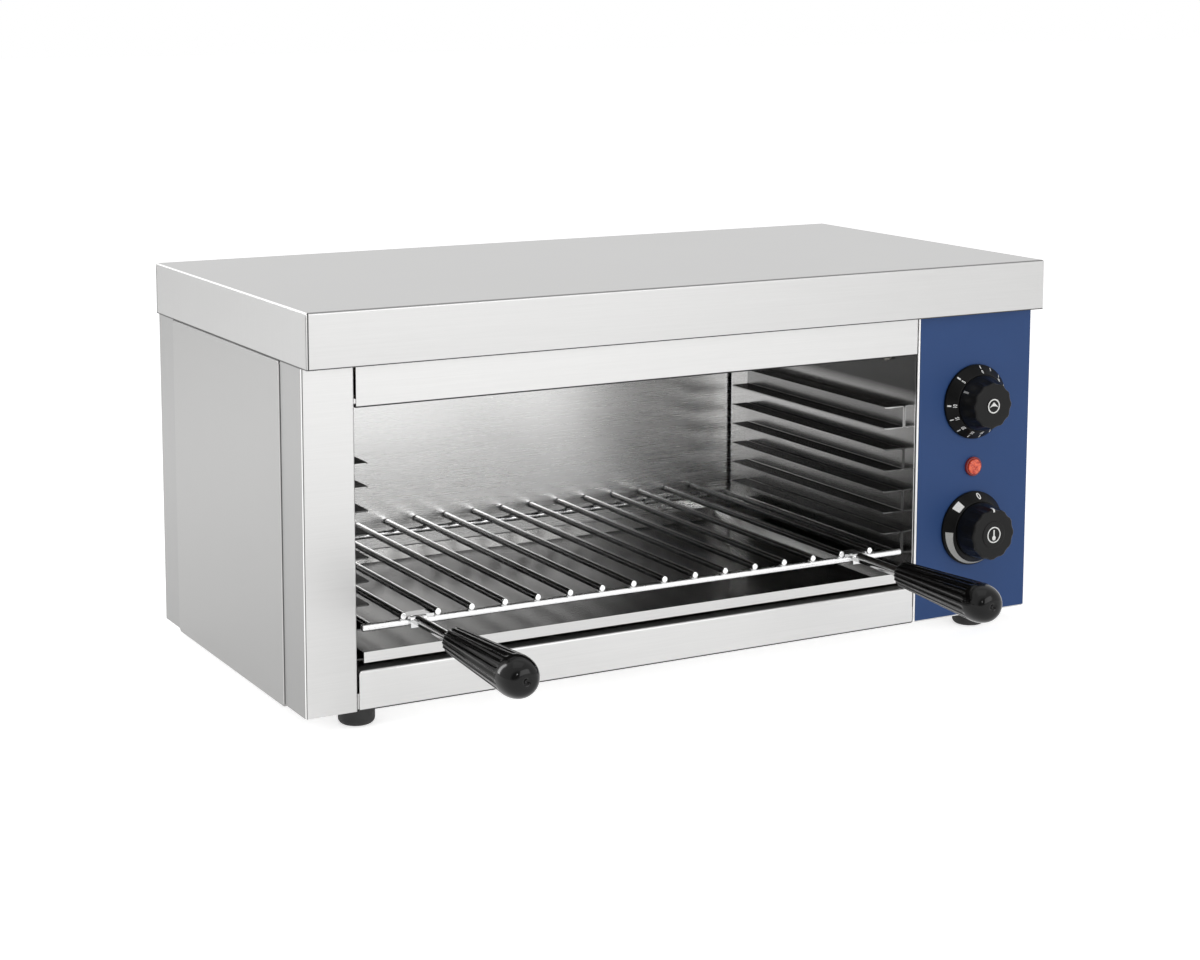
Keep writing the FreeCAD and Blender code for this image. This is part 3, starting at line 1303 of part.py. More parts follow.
def gland_nut():
    """The nut that clamps the gland from inside."""
    start = dial_point(BODY_REAR - CASE_SHEET - WELD_GAP, GLAND_HEIGHT)
    nut = hexagon(start, FRONTWARD, GLAND_HEX, GLAND_NUT_HEIGHT)
    bore_start = start.add(BACKWARD * OVERRUN)
    bore_end = start.add(FRONTWARD * (GLAND_NUT_HEIGHT + OVERRUN))
    return nut.cut(rod(bore_start, bore_end, GLAND_THREAD_DIAMETER + 2 * BORE_FIT))


def earth_stud():
    """The stud on the base plate for the earth wires, with its nut."""
    y = TERMINAL_BLOCK_FRONT - EARTH_STUD_OFFSET
    foot = Vector(BODY_RIGHT - EARTH_STUD_INSET, y, BASE_TOP + WELD_GAP)
    stud = rod(foot, foot.add(UPWARD * EARTH_STUD_LENGTH), EARTH_STUD_DIAMETER)
    return stud.fuse(hexagon(foot, UPWARD, NUT_ACROSS, NUT_HEIGHT))


def wiring_loom():
    """Insulated wires from the terminal block to the controls and the elements."""
    block_y = TERMINAL_BLOCK_FRONT
    block_z = BASE_TOP + FIT_GAP + TERMINAL_BLOCK_HEIGHT / 2
    pitch = TERMINAL_BLOCK_WIDTH / TERMINAL_BLOCK_WAYS
    first = DIAL_X - TERMINAL_BLOCK_WIDTH / 2 + pitch / 2
    bushing_end = WALL_RIGHT + INNER_SHEET + BUSHING_LENGTH / 2
    pin_x = bushing_end + TERMINAL_LENGTH + TERMINAL_PIN_LENGTH + 4 * WELD_GAP
    end_places = element_end_places()
    timer_back = PANEL_BACK + FIT_GAP + TIMER_BODY_LENGTH
    thermostat_back = PANEL_BACK + FIT_GAP + THERMOSTAT_BODY_LENGTH
    wires = []
    targets = (
        (0, Vector(first, thermostat_back + WELD_GAP, THERMOSTAT_HEIGHT), BACKWARD),
        (2, Vector(first + 2 * pitch, timer_back + WELD_GAP, TIMER_HEIGHT), BACKWARD),
    )
    for way, target, out in targets:
        x = first + way * pitch
        middle_y = block_y - 2 * LOOM_WIRE_BEND - way * LOOM_WIRE_BEND
        route = [
            Vector(x, block_y - WELD_GAP, block_z),
            Vector(x, middle_y, block_z),
            Vector(x, middle_y, target.z),
            target,
        ]
        wires.append(bent_rod(route, LOOM_WIRE_DIAMETER, LOOM_WIRE_BEND))
    for way, y in ((3, end_places[0]), (4, end_places[-1])):
        x = first + way * pitch
        rise_y = block_y - 2 * LOOM_WIRE_BEND
        over_z = ELEMENT_HEIGHT + 2 * LOOM_WIRE_BEND
        route = [
            Vector(x, block_y - WELD_GAP, block_z),
            Vector(x, rise_y, block_z),
            Vector(x, rise_y, over_z),
            Vector(x, y, over_z),
            Vector(x, y, ELEMENT_HEIGHT),
            Vector(pin_x, y, ELEMENT_HEIGHT),
        ]
        wires.append(bent_rod(route, LOOM_WIRE_DIAMETER, LOOM_LEAD_BEND))
    link_x = pin_x + 2 * LOOM_LEAD_BEND
    link = [
        Vector(pin_x, end_places[1], ELEMENT_HEIGHT),
        Vector(link_x, end_places[1], ELEMENT_HEIGHT),
        Vector(link_x, end_places[2], ELEMENT_HEIGHT),
        Vector(pin_x, end_places[2], ELEMENT_HEIGHT),
    ]
    wires.append(bent_rod(link, LOOM_WIRE_DIAMETER, LOOM_LEAD_BEND))
    return Part.makeCompound(wires)


# Feet and fasteners

def foot_places():
    """The point under the middle of each foot: front left, front right, rear left, rear right."""
    places = []
    for y in (BODY_FRONT + FOOT_END_INSET, BODY_REAR - FOOT_END_INSET):
        for x in (BODY_LEFT + FOOT_SIDE_INSET, BODY_RIGHT - FOOT_SIDE_INSET):
            places.append(Vector(x, y, 0))
    return places


def rubber_foot(place):
    """A round foot with a soft lower edge and a recess for its screw."""
    top = FOOT_HEIGHT - WELD_GAP
    body = rod(place, place.add(UPWARD * top), FOOT_DIAMETER)
    lower = edges_where(body, lambda edge, middle: near(middle.z, 0))
    body = body.makeFillet(FOOT_ROUND, lower)
    recess_width = FOOT_SCREW_HEAD + 2 * BORE_FIT
    recess_start = place.add(DOWNWARD * OVERRUN)
    body = body.cut(rod(recess_start, place.add(UPWARD * FOOT_RECESS), recess_width))
    bore = FOOT_SCREW_DIAMETER + 2 * BORE_FIT
    return body.cut(rod(recess_start, place.add(UPWARD * (top + OVERRUN)), bore))


def foot_screws():
    """The screw and nut that hold each foot to the base plate."""
    solids = []
    for place in foot_places():
        head_top = place.add(UPWARD * (FOOT_RECESS - WELD_GAP))
        head_bottom = head_top.add(DOWNWARD * FOOT_SCREW_HEAD_HEIGHT)
        nut_bottom = place.add(UPWARD * (BASE_TOP + WELD_GAP))
        shank_end = nut_bottom.add(UPWARD * (NUT_HEIGHT + SLIDE_GAP))
        head = rod(head_bottom, head_top, FOOT_SCREW_HEAD)
        solids.append(head.fuse(rod(head_top, shank_end, FOOT_SCREW_DIAMETER)))
        nut = hexagon(nut_bottom, UPWARD, NUT_ACROSS, NUT_HEIGHT)
        bore = rod(nut_bottom, shank_end.add(UPWARD * OVERRUN), FOOT_SCREW_DIAMETER + 2 * BORE_FIT)
        solids.append(nut.cut(bore))
    return Part.makeCompound(solids)


def base_screw_places():
    """The places across the back of the screws that hold the rear panel to the base plate."""
    reach = BODY_RIGHT - REAR_SCREW_INSET
    return [-reach, -reach / 3, reach / 3, reach]


def cover_screw_places():
    """The places across the back of the screws that hold the top cover."""
    reach = BODY_RIGHT - REAR_SCREW_INSET
    return [-reach, 0, reach]


def screw_hole(x, y, z):
    """A cutter for one casing screw, through every sheet that it joins."""
    start = Vector(x, y + OVERRUN, z)
    end = Vector(x, y - CASE_SCREW_LENGTH - OVERRUN, z)
    return rod(start, end, CASE_SCREW_DIAMETER + 2 * CASE_SCREW_HOLE_FIT)


def case_screw(x, y, z):
    """A pan-head screw that points forwards from the back of the casing, with a cross recess."""
    seat = Vector(x, y + WELD_GAP, z)
    head_end = seat.add(BACKWARD * CASE_SCREW_HEAD_HEIGHT)
    head = rod(seat, head_end, CASE_SCREW_HEAD)
    rim = edges_where(head, lambda edge, middle: near(middle.y, head_end.y))
    head = head.makeFillet(CASE_SCREW_ROUND, rim)
    shank = rod(seat, seat.add(FRONTWARD * CASE_SCREW_LENGTH), CASE_SCREW_DIAMETER)
    screw = head.fuse(shank)
    reach = CASE_SCREW_DIAMETER / 2
    half = CASE_SCREW_SLOT / 2
    floor = head_end.y - CASE_SCREW_SLOT_DEPTH
    top = head_end.y + OVERRUN
    screw = screw.cut(block(x - reach, x + reach, floor, top, z - half, z + half))
    return screw.cut(block(x - half, x + half, floor, top, z - reach, z + reach))


def case_screws():
    """All the casing screws at the back."""
    screws = []
    for x in base_screw_places():
        screws.append(case_screw(x, BODY_REAR, BASE_TOP + BASE_SCREW_RISE))
    for x in cover_screw_places():
        screws.append(case_screw(x, COVER_REAR, TOTAL_HEIGHT - COVER_SCREW_DROP))
    return Part.makeCompound(screws)


# Every piece by its name

def all_pieces():
    """Each piece's name and shape."""
    pieces = {
        "top_cover": top_cover(),
        "left_side_panel": left_side_panel(),
        "right_side_panel": mirrored(left_side_panel(), 0),
        "left_front_post": left_front_post(),
        "top_front_rail": top_front_rail(),
        "lower_front_rail": lower_front_rail(),
        "control_panel": control_panel(),
        "control_fascia": control_fascia(),
        "rear_panel": rear_panel(),
        "base_plate": base_plate(),
        "left_inner_wall": left_inner_wall(),
        "right_inner_wall": right_inner_wall(),
        "inner_rear_wall": inner_rear_wall(),
        "ceiling_reflector": ceiling_reflector(),
        "ceiling_insulation": ceiling_insulation(),
        "left_tray_rail": left_tray_rail(),
        "right_tray_rail": mirrored(left_tray_rail(), CHAMBER_X),
        "front_heating_element": heating_element(ELEMENT_FRONT),
        "rear_heating_element": heating_element(REAR_ELEMENT_FRONT),
        "element_hangers": element_hangers(),
        "element_bushings": element_bushings(),
        "element_terminals": element_terminals(),
        "timer_body": timer_body(),
        "timer_spindle": spindle(TIMER_HEIGHT),
        "timer_dial": dial_skirt(TIMER_HEIGHT),
        "timer_knob": timer_knob(),
        "thermostat_body": thermostat_body(),
        "thermostat_sensor": thermostat_sensor(),
        "thermostat_spindle": spindle(THERMOSTAT_HEIGHT),
        "thermostat_dial": dial_skirt(THERMOSTAT_HEIGHT),
        "thermostat_knob": thermostat_knob(),
        "pilot_lamp_body": pilot_lamp_body(),
        "pilot_lamp_lens": pilot_lamp_lens(),
        "terminal_block": terminal_block(),
        "cable_gland": cable_gland(),
        "gland_nut": gland_nut(),
        "earth_stud": earth_stud(),
        "wiring_loom": wiring_loom(),
        "grate_wires": grate_wires(),
        "grate_crossbars": grate_crossbars(),
        "grate_side_rods": grate_side_rods(),
        "left_grate_handle": grate_handle(-1),
        "right_grate_handle": grate_handle(1),
        "left_grip": grip(-1),
        "right_grip": grip(1),
        "drip_tray": drip_tray(),
        "foot_screws": foot_screws(),
        "case_screws": case_screws(),
    }
    for channel in range(CHANNELS):
        runner = left_runner(channel)
        pieces[f"left_runner_{channel + 1}"] = runner
        pieces[f"right_runner_{channel + 1}"] = mirrored(runner, CHAMBER_X)
    corners = ("front_left", "front_right", "rear_left", "rear_right")
    for corner, place in zip(corners, foot_places()):
        pieces[f"{corner}_foot"] = rubber_foot(place)
    return pieces


def main():
    """Writes every piece to its own STEP file."""
    os.makedirs("parts", exist_ok=True)
    for name, shape in all_pieces().items():
        shape.exportStep(f"parts/{name}.step")
        print(name, len(shape.Solids), round(shape.Volume, 1), shape.isValid())


main()
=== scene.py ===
"""Cheese melter: the visual model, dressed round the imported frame.

The sheet metal, the grate, the tray and the fittings of the frame stay and get their finishes here.
Knobs, grips and the pilot lens are rebuilt as smooth surfaces, and the dials get their printed scales.
Lengths are in metres. X runs to the right, Y to the back and Z up.
"""

import logging
import math
from dataclasses import dataclass
from enum import Enum
from typing import Callable, Optional, Sequence, Union

import bpy
import numpy as np
from mathutils import Matrix, Vector


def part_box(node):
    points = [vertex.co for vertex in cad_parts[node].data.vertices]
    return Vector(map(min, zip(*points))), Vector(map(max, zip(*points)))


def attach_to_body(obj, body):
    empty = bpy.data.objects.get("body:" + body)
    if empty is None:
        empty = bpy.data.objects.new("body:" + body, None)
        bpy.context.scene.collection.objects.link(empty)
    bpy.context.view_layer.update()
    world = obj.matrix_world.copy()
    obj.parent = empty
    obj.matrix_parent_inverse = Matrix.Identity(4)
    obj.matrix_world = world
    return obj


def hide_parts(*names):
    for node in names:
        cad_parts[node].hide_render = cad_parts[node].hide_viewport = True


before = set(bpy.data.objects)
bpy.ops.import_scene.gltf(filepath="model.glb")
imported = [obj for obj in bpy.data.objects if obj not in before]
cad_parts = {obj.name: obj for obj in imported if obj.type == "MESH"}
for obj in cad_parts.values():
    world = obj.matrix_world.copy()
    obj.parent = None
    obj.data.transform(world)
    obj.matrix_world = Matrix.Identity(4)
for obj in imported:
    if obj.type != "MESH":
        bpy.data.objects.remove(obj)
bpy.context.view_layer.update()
LOG = logging.getLogger("cheese_melter")
MM = 0.001
SOFT = (0.3, 0.7)  # where nearly all of a noise's values lie
NARROW = (0.35, 0.65)  # where most of them lie
LEAST_ROUGHNESS = 0.03
SAME = 1e-9  # lengths closer than this are taken as equal
GLAZE = {"contrast": 0.06, "skin_relief": 0.00003}  # what fired ceramic has beside its shade and roughness

Colour = tuple[float, float, float]
Point = tuple[float, float, float]
Span = tuple[float, float]
Material = bpy.types.Material
Piece = bpy.types.Object


class Axis(Enum):
    """A direction of the object, as an index of its coordinate."""

    X = 0
    Y = 1
    Z = 2


class Body(Enum):
    """The bodies of the frame that new pieces ride on."""

    CASING = "casing"
    GRATE = "grate"
    TIMER = "timer"
    THERMOSTAT = "thermostat"


class Slot(Enum):
    """The record's material slots black_phenolic, grate_chrome and red_lens; no piece in this script takes its
    finish from them.
    """

    BLACK_PHENOLIC = "black_phenolic"
    GRATE_CHROME = "grate_chrome"
    RED_LENS = "red_lens"


class Output(Enum):
    """The output sockets of a Mix node, by the kind of data it mixes."""

    VECTOR = 1
    COLOUR = 2


def operator(operation: str, swapped: bool = False) -> Callable[["Signal", "Value"], "Signal"]:
    """Makes a method that adds a Math node.

    Args:
        operation: The Math node's operation.
        swapped: Whether the other value comes first, as in 1 - mask.

    Returns:
        The method.
    """
    def method(self: "Signal", other: "Value" = 0.0) -> "Signal":
        """Adds the Math node and gives its output."""
        first, second = (other, self) if swapped else (self, other)
        return self.board.make("ShaderNodeMath", {"operation": operation}, {0: first, 1: second})

    return method


class Signal:
    """One output socket of a node, with the arithmetic that the finishes use."""

    __add__ = operator("ADD")
    __radd__ = operator("ADD", swapped=True)
    __sub__ = operator("SUBTRACT")
    __rsub__ = operator("SUBTRACT", swapped=True)
    __mul__ = operator("MULTIPLY")
    __rmul__ = operator("MULTIPLY", swapped=True)
    __gt__ = operator("GREATER_THAN")
    __abs__ = operator("ABSOLUTE")
    larger = operator("MAXIMUM")

    def __init__(self, board: "Board", socket: Optional[bpy.types.NodeSocket]) -> None:
        """Keeps the socket, which an output node has none of, and the board that it is on."""
        self.board = board
        self.socket = socket


Value = Union[float, Signal]


class Board:
    """A node tree that is being filled."""

    def __init__(self, tree: bpy.types.NodeTree) -> None:
        """Takes a node tree and empties it."""
        self.tree = tree
        self.tree.nodes.clear()

    def make(self, kind: str, settings: Optional[dict] = None, values: Optional[dict] = None,
             output: Union[int, str] = 0) -> Signal:
        """Adds a node of any kind.

        Args:
            kind: The node's type.
            settings: Its properties, set first.
            values: Its input sockets, as numbers, colours or signals.
            output: The output socket that is wanted.

        Returns:
            That output.
        """
        node = self.tree.nodes.new(kind)
        for key, value in (settings or {}).items():
            setattr(node, key, value)
        for key, value in (values or {}).items():
            if isinstance(value, Signal):
                self.tree.links.new(value.socket, node.inputs[key])
            else:
                node.inputs[key].default_value = value
        return Signal(self, node.outputs[output] if node.outputs else None)

    def place(self) -> Signal:
        """The point on the surface, in the object's own coordinates."""
        return self.make("ShaderNodeTexCoord", output="Object")

    def normal(self) -> Signal:
        """The direction that the surface looks in, in the object's own coordinates."""
        return self.make("ShaderNodeTexCoord", output="Normal")

    def along(self, vector: Signal, axis: Axis) -> Signal:
        """One coordinate of a vector."""
        return self.make("ShaderNodeSeparateXYZ", values={0: vector}, output=axis.value)

    def facing(self, axis: Axis, limit: float = 0.7) -> Signal:
        """1 where the surface looks along an axis, and 0 elsewhere."""
        return abs(self.along(self.normal(), axis)) > limit

    def compared(self, operation: str, vector: Signal, other: Point) -> Signal:
        """The number that Vector Math makes of two vectors, such as a distance."""
        return self.make("ShaderNodeVectorMath", {"operation": operation}, {0: vector, 1: other}, "Value")

    def stretched(self, vector: Signal, by: Sequence[float]) -> Signal:
        """A vector with each coordinate multiplied by its own number."""
        return self.make("ShaderNodeVectorMath", {"operation": "MULTIPLY"}, {0: vector, 1: tuple(by)})

    def noise(self, vector: Signal, scale: float, detail: float = 2.0, roughness: float = 0.5) -> Signal:
        """Soft noise between 0 and 1, around 0.5."""
        values = {"Vector": vector, "Scale": scale, "Detail": detail, "Roughness": roughness}
        return self.make("ShaderNodeTexNoise", values=values)

    def cells(self, vector: Signal, scale: float) -> Signal:
        """The distance to the nearest of scattered points."""
        return self.make("ShaderNodeTexVoronoi", values={"Vector": vector, "Scale": scale})

    def spread(self, signal: Signal, low: float, high: float, to_low: float = 0.0,
               to_high: float = 1.0) -> Signal:
        """A signal carried from one range to another, and held within it."""
        values = {"Value": signal, "From Min": low, "From Max": high, "To Min": to_low, "To Max": to_high}
        return self.make("ShaderNodeMapRange", {"clamp": True}, values)

    def mix_vectors(self, factor: Value, first: Signal, second: Signal) -> Signal:
        """One vector at 0, another at 1."""
        values = {0: factor, 4: first, 5: second}
        return self.make("ShaderNodeMix", {"data_type": "VECTOR"}, values, Output.VECTOR.value)

    def mix_colours(self, factor: Value, first: Union[Colour, Signal], second: Union[Colour, Signal]) -> Signal:
        """One colour at 0, another at 1."""
        values = {0: factor, 6: opaque(first), 7: opaque(second)}
        return self.make("ShaderNodeMix", {"data_type": "RGBA"}, values, Output.COLOUR.value)

    def bump(self, height: Signal, distance: float) -> Signal:
        """The normal of a surface that is lifted by the height times the distance."""
        return self.make("ShaderNodeBump", values={"Height": height, "Distance": distance, "Strength": 1.0})

    def ray(self, kind: str) -> Signal:
        """1 for light rays of a kind, and 0 for others."""
        return self.make("ShaderNodeLightPath", output=kind)

    def seen_directly(self) -> Signal:
        """1 for the rays that show the background: from the camera, in reflections and through clear pieces."""
        seen = self.ray("Is Camera Ray").larger(self.ray("Is Glossy Ray"))
        return seen.larger(self.ray("Is Transmission Ray"))


def opaque(colour: Union[Colour, Signal]) -> Union[tuple[float, ...], Signal]:
    """A colour with its fourth number, or a signal as it is."""
    return colour if isinstance(colour, Signal) else (*colour, 1.0)


def shade_of(colour: Colour, factor: float) -> Colour:
    """A colour made lighter or darker, kept between 0 and 1."""
    return tuple(min(1.0, channel * factor) for channel in colour)


def blend(first: Signal, second: Signal, share: float) -> Signal:
    """Two signals added up, the first with a share and the second with the rest."""
    return first * share + second * (1.0 - share)


@dataclass(frozen=True)
class PaintedFacingLight:
    """Painted light or shade where the surface looks within an angle of one direction: a thin painted highlight
    or painted shade along a fold's bend, or a whole face made lighter or darker.
    """

    towards: Point
    shade: float
    spread: float = 18.0
    softness: float = 0.01

    def mask(self, board: Board) -> Signal:
        """1 where the surface's normal is within the spread's angle of the direction.

        Args:
            board: The node tree.

        Returns:
            The mask.
        """
        likeness = board.compared("DOT_PRODUCT", board.normal(), tuple(Vector(self.towards).normalized()))
        limit = math.cos(math.radians(self.spread))
        return board.spread(likeness, limit - self.softness, limit + self.softness)


@dataclass(frozen=True)
class Fade:
    """Painted shade or painted light that changes from one place to another along an axis, such as a wall
    darker towards its top.
    """

    axis: Axis
    start: float
    stop: float
    shade: float

    def mask(self, board: Board) -> Signal:
        """0 before the start, 1 past the stop, and even between them."""
        return board.spread(board.along(board.place(), self.axis), self.start, self.stop)


@dataclass(frozen=True)
class Line:
    """A thin line across an axis, on the faces that look along another, such as a dark seam, the painted shadow
    below the cap and the painted highlight along a rear bend.
    """

    axis: Axis
    place: float
    width: float
    faces: Axis
    shade: float
    blur: Span = (0.4, 0.6)

    def mask(self, board: Board) -> Signal:
        """1 within half the width of the place, on the faces that are asked for.

        Args:
            board: The node tree.

        Returns:
            The mask.
        """
        near = abs(board.along(board.place(), self.axis) - self.place)
        inner, outer = (self.width * share for share in self.blur)
        return board.facing(self.faces) * board.spread(near, inner, outer, 1.0, 0.0)


Mark = Union[PaintedFacingLight, Fade, Line]


@dataclass(frozen=True)
class Finish:
    """A material: its name, and what each kind of finish makes of its surface."""

    name: str

    def sockets(self, board: Board, place: Signal) -> dict:
        """The sockets of the Principled shader that aren't left as they are.

        Args:
            board: The node tree.
            place: The point on the surface.

        Returns:
            Numbers, colours or signals by the socket's name.
        """
        raise NotImplementedError(self.name)

    def surface(self, board: Board) -> Signal:
        """The surface's shader."""
        return board.make("ShaderNodeBsdfPrincipled", values=self.sockets(board, board.place()))

    def material(self) -> Material:
        """Makes the material with its nodes.

        Returns:
            The material.
        """
        material = bpy.data.materials.new(self.name)
        material.use_nodes = True
        board = Board(material.node_tree)
        board.make("ShaderNodeOutputMaterial", values={"Surface": self.surface(board)})
        return material


@dataclass(frozen=True)
class ShadedFinish(Finish):
    """A finish of one colour, which varies a little from place to place and has marks laid over it: painted
    highlights, painted shade and dark seams.
    """

    shade: Colour
    roughness: float = 0.5
    roughness_change: float = 0.12
    contrast: float = 0.05
    marks: tuple[Mark, ...] = ()

    def colour(self, board: Board, light: Signal, span: Span = SOFT) -> Signal:
        """The colour, darker where the light signal is low, with the marks.

        Args:
            board: The node tree.
            light: What the colour follows.
            span: The values of that signal between the darkest and the lightest.

        Returns:
            The colour's signal.
        """
        dark, pale = shade_of(self.shade, 1.0 - self.contrast), shade_of(self.shade, 1.0 + self.contrast)
        colour = board.mix_colours(board.spread(light, *span), dark, pale)
        for mark in self.marks:
            colour = board.mix_colours(mark.mask(board), colour, shade_of(self.shade, mark.shade))
        return colour

    def gloss(self, board: Board, signal: Signal, span: Span = SOFT) -> Signal:
        """The roughness, which a signal carries from half its change below to half above."""
        low = max(LEAST_ROUGHNESS, self.roughness - self.roughness_change / 2)
        return board.spread(signal, *span, low, self.roughness + self.roughness_change / 2)


@dataclass(frozen=True)
class BrushedSteel(ShadedFinish):
    """Stainless sheet with fine straight grain, which turns where a face looks along the grain.

    The edge tint dims what the sheet mirrors at a flat angle. Where lay_flat's direction is met, the
    surface's shading is turned upright, so that a gentle slope mirrors what a level floor would.
    """

    roughness: float = 0.38
    roughness_change: float = 0.08
    contrast: float = 0.035
    grain: Axis = Axis.X
    other_grain: Axis = Axis.Z
    relief: float = 0.0000015
    line_scale: float = 1500.0
    line_length_scale: float = 22.0
    broad_scale: float = 0.3
    cloud_scale: float = 6.0
    fine_share: float = 0.8
    line_share: float = 0.85
    gloss_share: float = 0.6
    edge_tint: float = 1.0
    lay_flat: Optional[PaintedFacingLight] = None

    def drawn_out(self, board: Board, place: Signal, axis: Axis) -> Signal:
        """The point, stretched so that noise on it turns into lines along an axis.

        Args:
            board: The node tree.
            place: The point on the surface.
            axis: The direction of the lines.

        Returns:
            The stretched point.
        """
        by = [self.line_length_scale if other is axis else self.line_scale for other in Axis]
        return board.stretched(place, by)

    def sockets(self, board: Board, place: Signal) -> dict:
        """Fine and broad lines of noise drive colour, roughness and relief, over slow clouds.

        Args:
            board: The node tree.
            place: The point on the surface.

        Returns:
            Numbers, colours or signals by the socket's name.
        """
        ways = [self.drawn_out(board, place, axis) for axis in (self.grain, self.other_grain)]
        lines_place = board.mix_vectors(board.facing(self.grain), *ways)
        fine = board.noise(lines_place, 1.0, 3.0, 0.65)
        broad = board.noise(lines_place, self.broad_scale)
        clouds = board.noise(place, self.cloud_scale)
        lines = blend(fine, broad, self.fine_share)
        height = lines * self.relief
        if self.lay_flat:
            _, across_fall, up = self.lay_flat.towards
            height = height + board.along(place, Axis.Y) * self.lay_flat.mask(board) * (across_fall / up / up)
        return {
            "Base Color": self.colour(board, blend(lines, clouds, self.line_share)),
            "Metallic": 1.0,
            "Roughness": self.gloss(board, blend(lines, clouds, self.gloss_share)),
            "Specular Tint": (self.edge_tint,) * 3 + (1.0,),
            "Normal": board.bump(height, 1.0),
        }


@dataclass(frozen=True)
class BrightMetal(ShadedFinish):
    """Plated or drawn metal, nearly smooth, with faint drawing marks and a slight unevenness."""

    roughness_change: float = 0.08
    contrast: float = 0.08
    drawing_scale: float = 260.0
    wave_share: float = 1 / 8
    relief: float = 0.00001

    def sockets(self, board: Board, place: Signal) -> dict:
        """Two sizes of noise vary colour and roughness; the larger one also lifts the surface a little.

        Args:
            board: The node tree.
            place: The point on the surface.

        Returns:
            Numbers, colours or signals by the socket's name.
        """
        drawing = board.noise(place, self.drawing_scale, 4.0, 0.6)
        waves = board.noise(place, self.drawing_scale * self.wave_share)
        return {
            "Base Color": self.colour(board, blend(drawing, waves, 0.5), NARROW),
            "Metallic": 1.0,
            "Roughness": self.gloss(board, drawing),
            "Normal": board.bump(waves, self.relief),
        }


@dataclass(frozen=True)
class PaintedFoil(ShadedFinish):
    """A printed control foil: an even satin colour with the finest leather-like grain."""

    specular: float = 0.35
    grain_scale: float = 2600.0
    grain_relief: float = 0.000004
    grain_span: Span = (0.0, 0.7)

    def sockets(self, board: Board, place: Signal) -> dict:
        """A cell pattern of a third of a millimetre for the grain, and slow clouds in the colour.

        Args:
            board: The node tree.
            place: The point on the surface.

        Returns:
            Numbers, colours or signals by the socket's name.
        """
        grain = board.cells(place, self.grain_scale)
        return {
            "Base Color": self.colour(board, board.noise(place, 14.0, 3.0)),
            "Roughness": self.gloss(board, grain, self.grain_span),
            "Specular IOR Level": self.specular,
            "Normal": board.bump(grain, self.grain_relief),
        }


@dataclass(frozen=True)
class MouldedPlastic(ShadedFinish):
    """Moulded plastic, from glossy thermoset to matt nylon, with a fine skin and faint handling marks."""

    contrast: float = 0.2
    specular: float = 0.5
    skin_scale: float = 1500.0
    skin_relief: float = 0.00001
    wiped_share: float = 0.7
    wiped_gloss: float = 0.2

    def sockets(self, board: Board, place: Signal) -> dict:
        """Fine noise for the skin, slow noise for wiped and dusty patches in the gloss.

        Args:
            board: The node tree.
            place: The point on the surface.

        Returns:
            Numbers, colours or signals by the socket's name.
        """
        skin = board.noise(place, self.skin_scale)
        wiped = board.noise(place, 45.0, 3.0, 0.6)
        glossy, dull = (self.roughness * (1.0 + sign * self.wiped_gloss) for sign in (-1.0, 1.0))
        return {
            "Base Color": self.colour(board, wiped),
            "Roughness": board.spread(blend(wiped, skin, self.wiped_share), *SOFT, glossy, dull),
            "Specular IOR Level": self.specular,
            "Normal": board.bump(skin, self.skin_relief),
        }


@dataclass(frozen=True)
class Pattern:
    """Soft noise of one size, drawn out along an axis where its stretch is smaller there."""

    scale: float = 1.0
    detail: float = 2.0
    roughness: float = 0.5
    stretch: Point = (1.0, 1.0, 1.0)

    def signal(self, board: Board, place: Signal) -> Signal:
        """The noise at the point."""
        return board.noise(board.stretched(place, self.stretch), self.scale, self.detail, self.roughness)


@dataclass(frozen=True)
class TwoTone(Finish):
    """A surface that goes between two tones in patches, under a fine skin."""

    dark: Colour
    light: Colour
    patches: tuple[Pattern, ...]
    roughness: Span
    skin: Optional[Pattern] = None
    relief: float = 0.0
    tone_span: Span = NARROW
    skin_span: Span = SOFT
    metallic: Optional[Span] = None
    glow: float = 0.0

    def pattern(self, board: Board, place: Signal) -> Signal:
        """The patches: where several patterns cross, the highest of them shows.

        Args:
            board: The node tree.
            place: The point on the surface.

        Returns:
            The patches' signal.
        """
        highest, *others = (pattern.signal(board, place) for pattern in self.patches)
        for other in others:
            highest = highest.larger(other)
        return highest

    def sockets(self, board: Board, place: Signal) -> dict:
        """The patches give the tone and any metal, the skin gives the roughness and the relief.

        Args:
            board: The node tree.
            place: The point on the surface.

        Returns:
            Numbers, colours or signals by the socket's name.
        """
        patches = self.pattern(board, place)
        skin = self.skin.signal(board, place) if self.skin else patches
        colour = board.mix_colours(board.spread(patches, *self.tone_span), self.dark, self.light)
        values = {"Base Color": colour, "Roughness": board.spread(skin, *self.skin_span, *self.roughness)}
        if self.relief:
            values["Normal"] = board.bump(skin, self.relief)
        if self.metallic:
            values["Metallic"] = board.spread(patches, *SOFT, *self.metallic)
        if self.glow:
            values |= {"Emission Color": colour, "Emission Strength": self.glow}
        return values


@dataclass(frozen=True)
class PrintInk(TwoTone):
    """Screen-printed ink with slightly uneven cover; rows of darker dots thin the tone where asked."""

    dot_scale: float = 0.0
    cover_share: float = 0.3
    dot_span: Span = (0.1, 0.5)

    def pattern(self, board: Board, place: Signal) -> Signal:
        """The cover's noise, and for a toned band also the dots.

        Args:
            board: The node tree.
            place: The point on the surface.

        Returns:
            The cover's signal.
        """
        cover = super().pattern(board, place)
        if self.dot_scale:
            dots = board.spread(board.cells(place, self.dot_scale), *self.dot_span, 0.0, 1.0 - self.cover_share)
            cover = cover * self.cover_share + dots
        return cover


